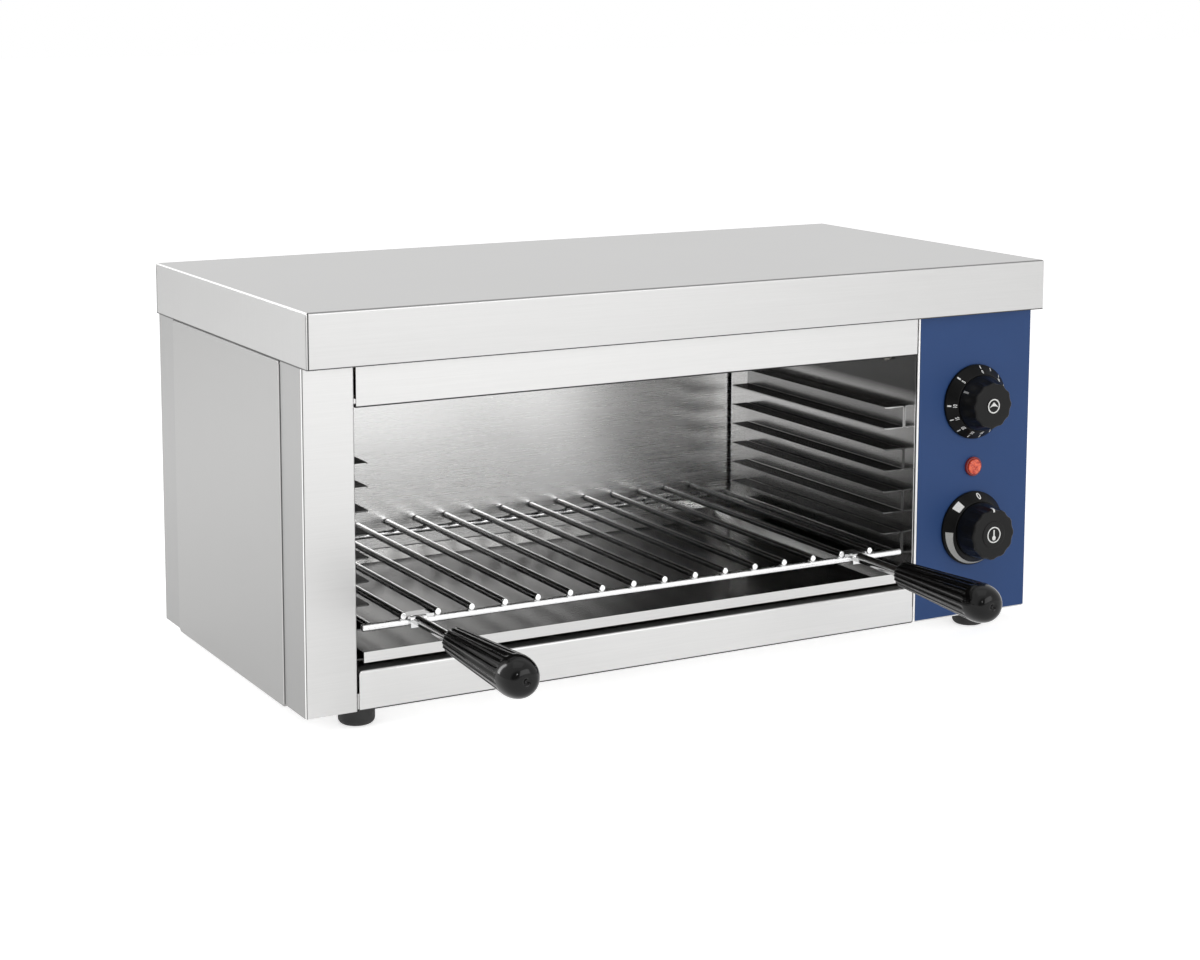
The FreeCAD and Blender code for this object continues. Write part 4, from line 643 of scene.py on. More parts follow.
SHEATH_OXIDE = TwoTone("element_sheath_oxide", (0.055, 0.056, 0.052), (0.15, 0.125, 0.1),
                       (Pattern(35.0, 4.0, 0.6),), (0.42, 0.6), Pattern(1400.0), 0.00002, metallic=(0.75, 0.45))
LENS_PLASTIC = TwoTone("red_lens_plastic", (0.42, 0.018, 0.006), (0.9, 0.16, 0.07),
                       (Pattern(420.0, 3.0, 0.6),), (0.12, 0.25), glow=0.12)
FIBRE_MAT = TwoTone("insulation_fibre_mat", (0.45, 0.4, 0.3), (0.75, 0.7, 0.58),
                    (Pattern(1.0, 3.0, stretch=(90.0, 900.0, 900.0)),
                     Pattern(1.0, 3.0, stretch=(900.0, 90.0, 900.0))),
                    (0.98, 0.85), relief=0.0003, tone_span=(0.4, 0.75), skin_span=(0.4, 0.75))
WIRE_SLEEVES = TwoTone("wire_sleeve_silicone", (0.16, 0.05, 0.02), (0.03, 0.1, 0.32),
                       (Pattern(1.0, 0.0, stretch=(9.0, 26.0, 26.0)),), (0.42, 0.58), Pattern(900.0), 0.00002,
                       tone_span=(0.49, 0.51))


def ink(name: str, shade: Colour, dot_scale: float = 0.0) -> PrintInk:
    """An ink of one shade, which thins to four fifths of it.

    Args:
        name: The ink's name.
        shade: Its shade.
        dot_scale: Dots to the metre, or 0 for none.

    Returns:
        The finish.
    """
    return PrintInk(name, shade_of(shade, 0.8), shade_of(shade, 1.1), (Pattern(1800.0),), (0.45, 0.6),
                    relief=0.000005, tone_span=(0.25, 0.75), skin_span=(0.2, 0.8), dot_scale=dot_scale)


@dataclass(frozen=True)
class StudioFloor(Finish):
    """The pale ground: white where it is lit, with the object's own soft shadow."""

    name: str = "studio_floor_paper"
    shade: float = 0.8
    tooth: float = 0.01
    lift: float = 0.6
    dim_centre: Point = (-0.95, -1.7, 0.0)
    dim_reach: Span = (0.6, 1.1)
    dimming: float = 0.6

    def surface(self, board: Board) -> Signal:
        """A matt surface, with even light of its own for the rays that see the background.

        Reflections see it dimmer round the camera, where a studio is dark.

        Args:
            board: The node tree.

        Returns:
            The surface's shader.
        """
        place = board.place()
        greys = [(self.shade * (1.0 + sign * self.tooth),) * 3 for sign in (-1.0, 1.0)]
        paper = board.mix_colours(board.noise(place, 700.0), *greys)
        distance = board.compared("DISTANCE", place, self.dim_centre)
        dim = board.ray("Is Glossy Ray") * board.spread(distance, *self.dim_reach, self.dimming, 0.0)
        matt = board.make("ShaderNodeBsdfDiffuse", values={"Color": board.mix_colours(dim, paper, (0.0,) * 3)})
        strength = board.seen_directly() * self.lift * (1.0 - dim)
        glow = board.make("ShaderNodeEmission", values={"Strength": strength})
        return board.make("ShaderNodeAddShader", values={0: matt, 1: glow})


def box_of(node: str) -> tuple[np.ndarray, np.ndarray, np.ndarray]:
    """The low corner, the high corner and the middle of a CAD node's box."""
    low, high = (np.array(corner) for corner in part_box(node))
    return low, high, (low + high) / 2


def circle(count: int) -> np.ndarray:
    """Angles spaced evenly round a full turn."""
    return np.linspace(0.0, 2 * math.pi, count, endpoint=False)


def linked(name: str, data: bpy.types.ID) -> Piece:
    """A new object in the scene, at the origin.

    Args:
        name: Its name.
        data: Its mesh, type, lamp or lens.

    Returns:
        The object.
    """
    piece = bpy.data.objects.new(name, data)
    bpy.context.scene.collection.objects.link(piece)
    return piece


def add_object(name: str, vertices: np.ndarray, faces: list, smooth_angle: float = 40.0) -> Piece:
    """Makes a mesh object with its faces pointing outwards.

    Args:
        name: The piece's name.
        vertices: Points, one in a row.
        faces: Lists of point numbers.
        smooth_angle: Edges sharper than this many degrees stay sharp.

    Returns:
        The object, linked to the scene, at the origin.
    """
    mesh = bpy.data.meshes.new(name)
    mesh.from_pydata(vertices.tolist(), [], faces)
    mesh.validate()
    triangles = np.array([(face[0], face[i], face[i + 1]) for face in faces for i in range(1, len(face) - 1)])
    corner = vertices[triangles]
    volume = np.einsum("ij,ij->i", corner[:, 0], np.cross(corner[:, 1], corner[:, 2])).sum()
    if volume < 0:
        mesh.flip_normals()
    mesh.polygons.foreach_set("use_smooth", np.ones(len(mesh.polygons), bool))
    mesh.set_sharp_from_angle(angle=math.radians(smooth_angle))
    mesh.update()
    return linked(name, mesh)


def ring_faces(rings: int, count: int, start: int = 0) -> list:
    """Quads between neighbouring closed rings of points.

    Args:
        rings: How many rings there are.
        count: The points in each.
        start: The number of the first point.

    Returns:
        Lists of point numbers, which run ring after ring.
    """
    ring, place = np.meshgrid(np.arange(rings - 1), np.arange(count), indexing="ij")
    after = (place + 1) % count
    corners = ring * count + place, ring * count + after, (ring + 1) * count + after, (ring + 1) * count + place
    return (np.stack(corners, axis=-1).reshape(-1, 4) + start).tolist()


def turned_solid(name: str, rings: np.ndarray, smooth_angle: float = 40.0) -> Piece:
    """A closed solid through rings of points, its first and last ring closed by a fan to their middle.

    Args:
        name: The piece's name.
        rings: An array of rings by points by 3.
        smooth_angle: Edges sharper than this many degrees stay sharp.

    Returns:
        The object.
    """
    count = rings.shape[1]
    points = rings.reshape(-1, 3)
    middles = np.array([rings[0].mean(axis=0), rings[-1].mean(axis=0)])
    first, last = len(points), len(points) + 1
    base = len(points) - count
    around = np.arange(count)
    after = (around + 1) % count
    start_fan = np.stack([np.full(count, first), after, around], axis=-1).tolist()
    end_fan = np.stack([np.full(count, last), base + around, base + after], axis=-1).tolist()
    faces = ring_faces(rings.shape[0], count) + start_fan + end_fan
    return add_object(name, np.vstack([points, middles]), faces, smooth_angle)


def slab(name: str, top: np.ndarray, bottom: np.ndarray, closed: bool = False,
         smooth_angle: float = 20.0) -> Piece:
    """A thin closed plate between two grids of points.

    Args:
        name: The piece's name.
        top: The outer grid, of m by n by 3 points.
        bottom: The inner grid, of the same shape.
        closed: Whether the last row joins the first, as in a ring.
        smooth_angle: Edges sharper than this many degrees stay sharp.

    Returns:
        The object.
    """
    sections = np.concatenate([top, bottom[:, ::-1]], axis=1)
    if not closed:
        return turned_solid(name, sections, smooth_angle)
    rows, count = sections.shape[:2]
    place = np.arange(count)
    after = (place + 1) % count
    base = (rows - 1) * count
    faces = ring_faces(rows, count) + np.stack([base + place, base + after, after, place], axis=-1).tolist()
    return add_object(name, sections.reshape(-1, 3), faces, smooth_angle)


def between(first: Sequence[np.ndarray], second: Sequence[np.ndarray]) -> np.ndarray:
    """Rows of two points each, from one line of (right, up) points to another."""
    return np.stack([np.stack(first, axis=-1), np.stack(second, axis=-1)], axis=1)


def smoothstep(value: np.ndarray) -> np.ndarray:
    """0 below 0, 1 above 1, and a smooth rise between."""
    held = np.clip(value, 0.0, 1.0)
    return held * held * (3.0 - 2.0 * held)


def valleys(offset: np.ndarray, away: np.ndarray, half: float) -> np.ndarray:
    """The cross-section of grooves: a parabola, 1 in its middle and 0 from half its width outwards.

    Args:
        offset: Angles from the nearest groove's middle.
        away: Distances from the axis.
        half: Half a groove's width.

    Returns:
        An array of distances by angles.
    """
    across = np.abs(offset)[None, :] * away[:, None] / half
    return np.clip(1.0 - across**2, 0.0, None)


def dress(finish: Finish, *names: str) -> Material:
    """Gives CAD nodes a finish.

    Args:
        finish: The finish for every slot of theirs.
        names: The nodes.

    Returns:
        The finish's material, for pieces that share it.
    """
    material = finish.material()
    for name in names:
        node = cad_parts[name]
        if not node.material_slots:
            node.data.materials.append(material)
        for place in node.material_slots:
            place.material = material
    LOG.info("%s on %s", finish.name, ", ".join(names))
    return material


def attach(piece: Piece, body: Body, material: Material) -> None:
    """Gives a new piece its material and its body.

    Args:
        piece: The piece.
        body: The body that it rides on.
        material: Its material.
    """
    piece.data.materials.clear()
    piece.data.materials.append(material)
    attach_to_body(piece, body.value)
    LOG.info("%s rides on %s, %d faces", piece.name, body.value, len(piece.data.polygons))


@dataclass
class Casing:
    """The cover, the case panels, the blue control foil and the feet."""

    steel: Colour = (0.6, 0.598, 0.593)
    # cap_steel and side_steel are darker copies of the brushed steel, painted shade on the cap and on the side
    # panels; low_rail_light makes a lighter copy, painted light on the lower rail.
    cap_steel: Colour = (0.54, 0.538, 0.534)
    side_steel: Colour = (0.31, 0.308, 0.305)
    low_rail_light: float = 1.1
    foil: Colour = (0.0165, 0.056, 0.18)
    rubber: Colour = (0.012, 0.012, 0.012)
    zinc: Colour = (0.62, 0.62, 0.6)
    # Painted light and shade by the way a face looks: painted highlights along the top left bend, the left
    # corner and the control panel's corner; painted shade along the other bends, on the left faces and on the
    # control panel's left return.
    front_top: PaintedFacingLight = PaintedFacingLight((0.0, -1.0, 1.0), 0.45)
    front_low: PaintedFacingLight = PaintedFacingLight((0.0, -1.0, -1.0), 0.12, 35.0)
    left_top: PaintedFacingLight = PaintedFacingLight((-1.0, 0.0, 1.0), 1.8)
    left_low: PaintedFacingLight = PaintedFacingLight((-1.0, 0.0, -1.0), 0.12, 35.0)
    left_corner: PaintedFacingLight = PaintedFacingLight((-1.0, -0.62, 0.0), 1.6, 12.0)
    front_corner: PaintedFacingLight = PaintedFacingLight((-0.45, -1.0, 0.0), 0.25, 11.0)
    left_face: PaintedFacingLight = PaintedFacingLight((-1.0, 0.0, 0.0), 0.48, 20.0)
    cap_left_face: PaintedFacingLight = PaintedFacingLight((-1.0, 0.0, 0.0), 0.7, 20.0)
    panel_left: PaintedFacingLight = PaintedFacingLight((-1.0, 0.0, 0.0), 0.1, 30.0)
    panel_corner: PaintedFacingLight = PaintedFacingLight((-1.0, -1.0, 0.0), 1.6, 32.0)
    seam_place: float = 1.1 * MM
    seam_width: float = 1.0 * MM
    shadow_width: float = 1.5 * MM
    shadow_shade: float = 0.12
    foot_line: tuple[float, float, float] = (0.3 * MM, 1.2 * MM, 0.08)

    def build(self) -> None:
        """Gives the case its brushed sheet, with the grain running along each sheet's length."""
        low, _, _ = box_of("top_cover")
        seam = Line(Axis.X, low[0] + self.seam_place, self.seam_width, Axis.Y, self.shadow_shade)
        shadows = tuple(Line(Axis.Z, low[2], self.shadow_width, faces, self.shadow_shade)
                        for faces in (Axis.Y, Axis.X))
        # Painted highlights and shade on the cap's bends and left face, its dark seam and the painted shadow at
        # its foot.
        marks = (self.cap_left_face, self.front_top, self.front_low, self.left_top, self.left_low, seam,
                 *shadows)
        dress(BrushedSteel("brushed_cap", self.cap_steel, marks=marks), "top_cover")
        # Painted shade on the left faces and the lower front bend, and painted highlight and shade on the two
        # corners.
        marks = (self.left_face, self.front_low, self.left_corner, self.front_corner, *shadows)
        dress(BrushedSteel("brushed_case_level", self.steel, marks=marks), "top_front_rail", "left_front_post",
              "rear_panel", "base_plate")
        low, _, _ = box_of("lower_front_rail")
        rise, width, shade = self.foot_line
        marks = (self.front_low, Line(Axis.Z, low[2] + rise, width, Axis.Y, shade))
        # A lighter copy of the steel: painted light on the lower rail.
        steel = shade_of(self.steel, self.low_rail_light)
        dress(BrushedSteel("brushed_low_rail", steel, marks=marks), "lower_front_rail")
        # Painted shade on the panel's left return and a painted highlight on its corner.
        marks = (self.panel_left, self.panel_corner)
        dress(BrushedSteel("brushed_control_panel", self.steel, marks=marks), "control_panel")
        # The side panels: a darker copy of the steel, painted shade, with the corners' painted highlight and
        # shade and the painted shadow under the cap.
        marks = (self.left_corner, self.front_corner, shadows[1])
        upright = BrushedSteel("brushed_case_upright", self.side_steel, marks=marks, grain=Axis.Z,
                               other_grain=Axis.X)
        dress(upright, "left_side_panel", "right_side_panel")
        dress(PaintedFoil("blue_control_foil", self.foil), "control_fascia")
        dress(MouldedPlastic("foot_rubber_matt", self.rubber, 0.62, skin_relief=0.00004), "front_left_foot",
              "front_right_foot", "rear_left_foot", "rear_right_foot")
        dress(BrightMetal("plated_screw_zinc", self.zinc, 0.3, contrast=0.12), "foot_screws", "case_screws")


@dataclass
class Chamber:
    """The walls, the ledges and the ceiling of the heated space."""

    # rear_steel and side_steel are lighter copies of the brushed steel: painted light on the rear wall, the
    # side walls and the ledges. rear_foot is painted light too: the rear wall lighter towards its foot.
    rear_steel: Colour = (0.71, 0.707, 0.702)
    rear_foot: Fade = Fade(Axis.Z, 0.13, 0.075, 1.34)
    side_steel: Colour = (0.86, 0.855, 0.85)
    # ceiling_steel is a dark copy of the brushed steel: painted shade on the ceiling and the hangers.
    ceiling_steel: Colour = (0.16, 0.157, 0.15)
    # Painted shade on the ledges' top faces and on their front ends.
    ledge_top: PaintedFacingLight = PaintedFacingLight((0.0, 0.0, 1.0), 0.2, 40.0)
    ledge_end: PaintedFacingLight = PaintedFacingLight((0.0, -1.0, 0.0), 0.12, 60.0)
    ledge_edge_tint: float = 0.3
    # Painted shade: the side walls darker above the top ledge, and the top ledge darker by top_ledge_shade.
    top_shade_start: float = 1.0 * MM
    top_shade_stop: float = 14.0 * MM
    top_shade_level: float = 0.12
    top_ledge_shade: float = 0.58
    # Painted highlight: a lighter line along the side walls' rear bend.
    rear_bend_highlight: tuple[float, float, float] = (0.9 * MM, 1.8 * MM, 1.2)
    mouth_shade: Fade = Fade(Axis.Y, -0.03, -0.115, 0.6)
    smooth: float = 0.06

    def build(self) -> None:
        """Gives the chamber its smoother sheet and the ceiling its fibre mat."""
        level, across = {"grain": Axis.X, "other_grain": Axis.Y}, {"grain": Axis.Y, "other_grain": Axis.X}
        # The rear wall: a lighter copy of the steel, with painted light towards its foot.
        dress(BrushedSteel("chamber_wall_sheet", self.rear_steel, 0.27, self.smooth, marks=(self.rear_foot,),
                           **level), "inner_rear_wall")
        # Painted shade: a dark copy of the steel for the ceiling reflector and the element hangers.
        dress(BrushedSteel("ceiling_sheet_shaded", self.ceiling_steel, 0.36, 0.1, 0.25, **level),
              "ceiling_reflector", "element_hangers")
        # Painted highlight along the side walls' rear bend.
        inset, width, shade = self.rear_bend_highlight
        _, wall_high, _ = box_of("right_inner_wall")
        rear_bend_highlight = Line(Axis.Y, wall_high[1] - inset, width, Axis.X, shade)
        low, high, _ = box_of("right_runner_4")
        # Painted shade on the walls above the top ledge and on the top ledge itself.
        painted_top_shade = Fade(Axis.Z, high[2] + self.top_shade_start, high[2] + self.top_shade_stop, self.top_shade_level)
        painted_ledge_shade = Fade(Axis.Z, low[2] - self.top_shade_start, low[2] + self.top_shade_start, self.top_ledge_shade)
        marks = (self.mouth_shade, painted_top_shade, rear_bend_highlight)
        dress(BrushedSteel("chamber_side_sheet", self.side_steel, 0.2, self.smooth, marks=marks, **across),
              "left_inner_wall", "right_inner_wall")
        # The ledges: painted shade at the mouth, on their tops, on their front ends and on the top ledge.
        marks = (self.mouth_shade, self.ledge_top, self.ledge_end, painted_ledge_shade)
        runners = [f"{hand}_runner_{number}" for hand in ("left", "right") for number in range(1, 5)]
        ledge = BrushedSteel("chamber_ledge_sheet", self.side_steel, 0.25, self.smooth, marks=marks,
                             edge_tint=self.ledge_edge_tint, **across)
        dress(ledge, "left_tray_rail", "right_tray_rail", *runners)
        dress(FIBRE_MAT, "ceiling_insulation")


@dataclass
class Heating:
    """The two heating elements with their bushings and terminals."""

    ceramic: Colour = (0.72, 0.69, 0.62)
    brass: Colour = (0.68, 0.48, 0.2)

    def build(self) -> None:
        """Gives tubes their oxide, bushings their glaze and terminals their brass."""
        dress(SHEATH_OXIDE, "front_heating_element", "rear_heating_element")
        dress(MouldedPlastic("bushing_ceramic", self.ceramic, 0.4, **GLAZE), "element_bushings")
        dress(BrightMetal("terminal_brass", self.brass, 0.3), "element_terminals")


@dataclass
class Fittings:
    """The controls' bodies behind the panel, the wiring and the mains connection."""

    def build(self) -> None:
        """Gives each hidden fitting its own plain industrial finish."""
        dress(MouldedPlastic("control_case_grey", (0.2, 0.2, 0.21), 0.5, contrast=0.1), "timer_body",
              "thermostat_body")
        dress(BrightMetal("capillary_copper", (0.72, 0.36, 0.22), 0.28), "thermostat_sensor")
        dress(BrightMetal("spindle_steel", (0.6, 0.6, 0.59), 0.25), "timer_spindle", "thermostat_spindle")
        dress(MouldedPlastic("terminal_block_ceramic", (0.74, 0.72, 0.66), 0.45, **GLAZE), "terminal_block")
        dress(MouldedPlastic("gland_nylon", (0.014, 0.014, 0.015), 0.45), "cable_gland", "gland_nut")
        dress(BrightMetal("earth_stud_brass", (0.66, 0.5, 0.24), 0.32), "earth_stud")
        dress(WIRE_SLEEVES, "wiring_loom")
        dress(MouldedPlastic("bezel_red", (0.22, 0.012, 0.008), 0.3, contrast=0.15), "pilot_lamp_body")


@dataclass
class Grip:
    """One fluted grip, which widens from its neck to a smooth domed end with a dimple."""

    side: str
    neck: float = 19.0 * MM / 2
    wide: float = 28.5 * MM / 2
    dome: float = 17.0 * MM
    dome_along_power: float = 0.9
    dome_away_power: float = 0.62
    dimple: float = 3.4 * MM
    dimple_depth: float = 1.6 * MM
    dimple_clearance: float = 1.15
    dimple_rings: int = 10
    flutes: int = 18
    flute_depth: float = 0.65 * MM
    flute_half: float = 1.6 * MM
    flute_margin: float = 1.0 * MM
    flute_runout: float = 1.5 * MM
    edge: float = 0.8 * MM
    lip: float = 0.24 * MM
    bore: float = 3.8 * MM
    around: int = 360
    body_rings: int = 40
    dome_rings: int = 30
    smooth_angle: float = 35.0

    def profile(self, length: float) -> tuple[np.ndarray, np.ndarray]:
        """The outline from the neck to the middle of the end.

        The body is a straight cone from neck to wide. The dome follows a superellipse: its distance along
        is the 0.9th power of the sine, and its radius the 0.62nd power of the cosine, of an angle that
        runs from 0 to where the dimple begins. The dimple is a shallow cosine bowl.

        Args:
            length: The grip's whole length.

        Returns:
            Distances along the grip and from its axis.
        """
        straight = length - self.dome
        rise = np.linspace(0.0, 1.0, self.body_rings)
        body_along = self.edge + rise * (straight - self.edge)
        body_away = self.neck + rise * (self.wide - self.neck)
        angle = np.linspace(0.0, math.pi / 2, self.dome_rings + 1)[1:-1]
        dome_along = straight + self.dome * np.sin(angle) ** self.dome_along_power
        dome_away = self.wide * np.cos(angle) ** self.dome_away_power
        keep = dome_away > self.dimple * self.dimple_clearance
        turn = np.linspace(0.0, 1.0, self.dimple_rings)[1:-1]
        bowl_away = self.dimple * (1.0 - turn)
        bowl_along = length - self.dimple_depth * (0.5 - 0.5 * np.cos(math.pi * turn))
        along = [[0.0, 0.0, self.lip], body_along, dome_along[keep], [length], bowl_along]
        start_away = [self.bore, self.neck - self.edge, self.neck - self.lip]
        away = [start_away, body_away, dome_away[keep], [self.dimple], bowl_away]
        return np.concatenate(along), np.concatenate(away)

    def build(self, material: Material) -> None:
        """Turns the outline round the grip's axis and sinks the flutes, which fade out before the dome.

        Args:
            material: The grip's material.
        """
        node = f"{self.side}_grip"
        low, high, middle = box_of(node)
        length = high[1] - low[1]
        along, away = self.profile(length)
        angle = circle(self.around)
        pitch = 2 * math.pi / self.flutes
        offset = (angle + pitch / 2) % pitch - pitch / 2
        runout = (along - (length - self.dome) + self.flute_margin) / self.flute_runout
        depth = self.flute_depth * (1.0 - smoothstep(runout))[:, None]
        radius = away[:, None] - depth * valleys(offset, away, self.flute_half)
        y = np.broadcast_to((high[1] - along)[:, None], radius.shape)
        rings = np.stack([middle[0] + radius * np.sin(angle), y, middle[2] + radius * np.cos(angle)], axis=-1)
        piece = turned_solid(f"{self.side}_grip_moulding", rings, self.smooth_angle)
        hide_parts(node)
        attach(piece, Body.GRATE, material)


@dataclass
class Welds:
    """The small fillets where the grate's wires cross its two bars."""

    wires: int = 16
    pitch: float = 25.87 * MM
    half_width: float = 2.53 * MM
    half_height: float = 1.65 * MM
    pole: float = 0.15
    rings: int = 7
    around: int = 12
    smooth_angle: float = 60.0

    def build(self, material: Material) -> None:
        """Sets a flattened ball in each crossing: an ellipsoid of latitude rings, joined into one mesh.

        Args:
            material: The beads' material.
        """
        wires_low, _, wires_middle = box_of("grate_wires")
        bars_low, bars_high, _ = box_of("grate_crossbars")
        radius = (bars_high[2] - bars_low[2]) / 2
        height = (bars_high[2] + wires_low[2]) / 2
        theta = np.linspace(self.pole, math.pi - self.pole, self.rings)[:, None]
        phi = circle(self.around)[None, :]
        ball = np.stack([
            self.half_width * np.sin(theta) * np.cos(phi),
            self.half_width * np.sin(theta) * np.sin(phi),
            self.half_height * np.cos(theta) * np.ones_like(phi),
        ], axis=-1).reshape(-1, 3)
        ring = np.arange(self.around)
        places = [(wires_middle[0] + (index - (self.wires - 1) / 2) * self.pitch, row, height)
                  for row in (bars_low[1] + radius, bars_high[1] - radius) for index in range(self.wires)]
        faces = []
        for start in range(0, len(places) * len(ball), len(ball)):
            faces += ring_faces(self.rings, self.around, start)
            faces += [(start + ring)[::-1].tolist(), (start + len(ball) - self.around + ring).tolist()]
        points = (np.array(places)[:, None, :] + ball[None, :, :]).reshape(-1, 3)
        piece = add_object("grate_weld_beads", points, faces, self.smooth_angle)
        attach(piece, Body.GRATE, material)


@dataclass
class Grate:
    """The wire grate with its handles, and the drip tray below it."""

    chrome: Colour = (0.7, 0.7, 0.7)
    # bar_light makes a lighter copy of the chrome: painted light on the crossbars.
    bar_light: float = 1.25
    tray_steel: Colour = (0.62, 0.618, 0.612)
    grip_black: Colour = (0.004, 0.004, 0.004)
    # Painted shade on the wires' sides and undersides, and a painted highlight on their cut ends.
    wire_side: PaintedFacingLight = PaintedFacingLight((-0.35, 0.0, -0.94), 0.16, 122.0)
    wire_end: PaintedFacingLight = PaintedFacingLight((0.0, -1.0, 0.0), 1.3, 35.0)
    # Painted shade under the crossbars and on their faces that look up and back.
    bar_under: PaintedFacingLight = PaintedFacingLight((0.0, 0.0, -1.0), 0.06, 48.0)
    bar_behind: PaintedFacingLight = PaintedFacingLight((0.0, 0.5, 0.87), 0.1, 28.0)
    # Painted shade on the tray's floor and a painted highlight on its rear slope.
    tray_floor: PaintedFacingLight = PaintedFacingLight((0.0, 0.0, 1.0), 0.5, 12.0)
    tray_slope: PaintedFacingLight = PaintedFacingLight((0.0, -0.525, 0.851), 1.6, 12.0)
    tray_edge_tint: float = 0.5

    def build(self) -> None:
        """Dresses the rods, rebuilds the grips and adds the weld beads."""
        bright = BrightMetal("grate_bright_chrome", self.chrome, 0.11, 0.05, 0.05, relief=0.000003)
        metal = dress(bright, "left_grate_handle", "right_grate_handle")
        # Painted shade on the wires' sides and a painted highlight on their ends.
        marks = (self.wire_side, self.wire_end)
        dress(BrightMetal("grate_wire_chrome", self.chrome, 0.14, 0.04, 0.03, marks, relief=0.000002),
              "grate_wires", "grate_side_rods")
        # Painted shade under and behind the crossbars, on a lighter copy of the chrome.
        marks = (self.bar_under, self.bar_behind)
        shade = shade_of(self.chrome, self.bar_light)
        dress(BrightMetal("grate_frame_chrome", shade, 0.28, 0.06, 0.04, marks), "grate_crossbars")
        Welds().build(metal)
        gloss = MouldedPlastic("grip_glossy_phenolic", self.grip_black, 0.13, specular=0.25, skin_scale=700.0,
                               skin_relief=0.000004).material()
        for side in ("left", "right"):
            Grip(side).build(gloss)
        # Painted shade on the tray's floor and a painted highlight on its rear slope.
        marks = (self.tray_floor, self.tray_slope)
        dress(BrushedSteel("drip_tray_sheet", self.tray_steel, 0.2, 0.06, marks=marks, other_grain=Axis.Y,
                           edge_tint=self.tray_edge_tint, lay_flat=self.tray_slope), "drip_tray")


@dataclass
class Knob:
    """A knob that is round at its base and lobed towards its face, with a raised disc in the face."""

    control: str
    body: Body
    face: float
    boss: float
    base: float = 43.0 * MM / 2
    base_edge: float = 0.6 * MM
    lobes: int = 12
    lobe_depth: float = 0.85 * MM
    lobe_half: float = 3.6 * MM
    lobe_start: float = 0.15
    lobe_growth: float = 0.6
    edge: float = 1.6 * MM
    edge_steps: int = 7
    cone_steps: int = 16
    face_steps: int = 8
    boss_rise: float = 0.5 * MM
    boss_insets: tuple[float, ...] = (0.12 * MM, 0.35 * MM, 0.6 * MM)
    boss_rises: tuple[float, ...] = (0.75, 0.97, 1.0, 1.0)
    middle: float = 0.5
    around: int = 320
    smooth_angle: float = 38.0
    ink_rise: float = 0.06 * MM
    ink_sink: float = 0.05 * MM
    side_ink_lift: float = 0.07 * MM
    ring_width: float = 0.95 * MM

    def places(self) -> tuple[float, float, float, float]:
        """The axis's X and Z, and the Y of the base and of the raised disc's face."""
        low, high, _ = box_of(f"{self.control}_knob")
        _, _, axis = box_of(f"{self.control}_dial")
        return axis[0], axis[2], high[1], low[1]

    def ring(self, along: np.ndarray, away: np.ndarray, lobing: np.ndarray, angle: np.ndarray) -> np.ndarray:
        """Points of rings round the knob's axis.

        The radius is the outline's, less the depth of a valley that is a parabola across each gap
        between lobes, times how far the lobing has grown in.

        Args:
            along: Distances in front of the base.
            away: The outline's radii.
            lobing: How deep the valleys are, from 0 to 1.
            angle: Clock angles in radians.

        Returns:
            An array of rings by points by 3.
        """
        x0, z0, base_y, _ = self.places()
        pitch = 2 * math.pi / self.lobes
        valley = valleys(angle % pitch - pitch / 2, away, self.lobe_half)
        radius = away[:, None] - self.lobe_depth * lobing[:, None] * valley
        y = np.broadcast_to((base_y - along)[:, None], radius.shape)
        return np.stack([x0 + radius * np.sin(angle), y, z0 + radius * np.cos(angle)], axis=-1)

    def outline(self) -> tuple[np.ndarray, np.ndarray, np.ndarray]:
        """The knob's outline from the middle of its back to the middle of its face.

        A small quarter round at the base, a straight cone, a quarter round at the face, then the flat
        face, the slope of the raised disc and its top.

        Returns:
            Distances along, radii and the depth of the lobing.
        """
        _, _, base_y, front_y = self.places()
        depth = base_y - front_y - self.boss_rise
        quarter = np.linspace(0.0, math.pi / 2, self.edge_steps)
        cone = np.linspace(0.0, 1.0, self.cone_steps)[1:]
        flat = np.linspace(0.0, 1.0, self.face_steps)[1:]
        face_away = self.face - self.edge * (1 - np.cos(quarter[1:]))
        boss_away = [self.boss - inset for inset in self.boss_insets] + [self.boss * self.middle]
        along = np.concatenate([
            [0.0],
            self.base_edge * (1 - np.cos(quarter)),
            self.base_edge + cone * (depth - self.edge - self.base_edge),
            depth - self.edge + self.edge * np.sin(quarter[1:]),
            np.full_like(flat, depth),
            depth + self.boss_rise * np.array(self.boss_rises),
        ])
        away = np.concatenate([
            [self.base * self.middle],
            self.base - self.base_edge + self.base_edge * np.sin(quarter),
            self.base + cone * (self.face - self.base),
            face_away,
            face_away[-1] + flat * (self.boss - face_away[-1]),
            boss_away,
        ])
        grown = smoothstep((along - self.lobe_start * depth) / (self.lobe_growth * depth))
        across_face = np.clip((away - self.boss) / (face_away[-1] - self.boss), 0.0, 1.0) ** 2
        return along, away, np.where(along >= depth - SAME, grown * across_face, grown)

    def build(self, material: Material) -> None:
        """Turns the outline with its lobes and lets the piece stand for the CAD knob.

        Args:
            material: The knob's material.
        """
        rings = self.ring(*self.outline(), circle(self.around))
        piece = turned_solid(f"{self.control}_knob_moulding", rings, self.smooth_angle)
        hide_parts(f"{self.control}_knob")
        attach(piece, self.body, material)

    def face_mark(self, name: str, outline: np.ndarray, material: Material) -> None:
        """A flat mark on the raised disc.

        Args:
            name: The piece's name.
            outline: Two rows of points, (right, up) from the axis, which the mark fills between.
            material: Its ink.
        """
        x0, z0, _, front_y = self.places()
        closed = bool(np.allclose(outline[0], outline[-1]))
        rows = outline[:-1] if closed else outline
        depth = np.full(rows.shape[:2], front_y - self.ink_rise)
        grid = np.stack([x0 + rows[..., 0], depth, z0 + rows[..., 1]], axis=-1)
        under = grid + np.array([0.0, self.ink_rise + self.ink_sink, 0.0])
        attach(slab(name, grid, under, closed), self.body, material)

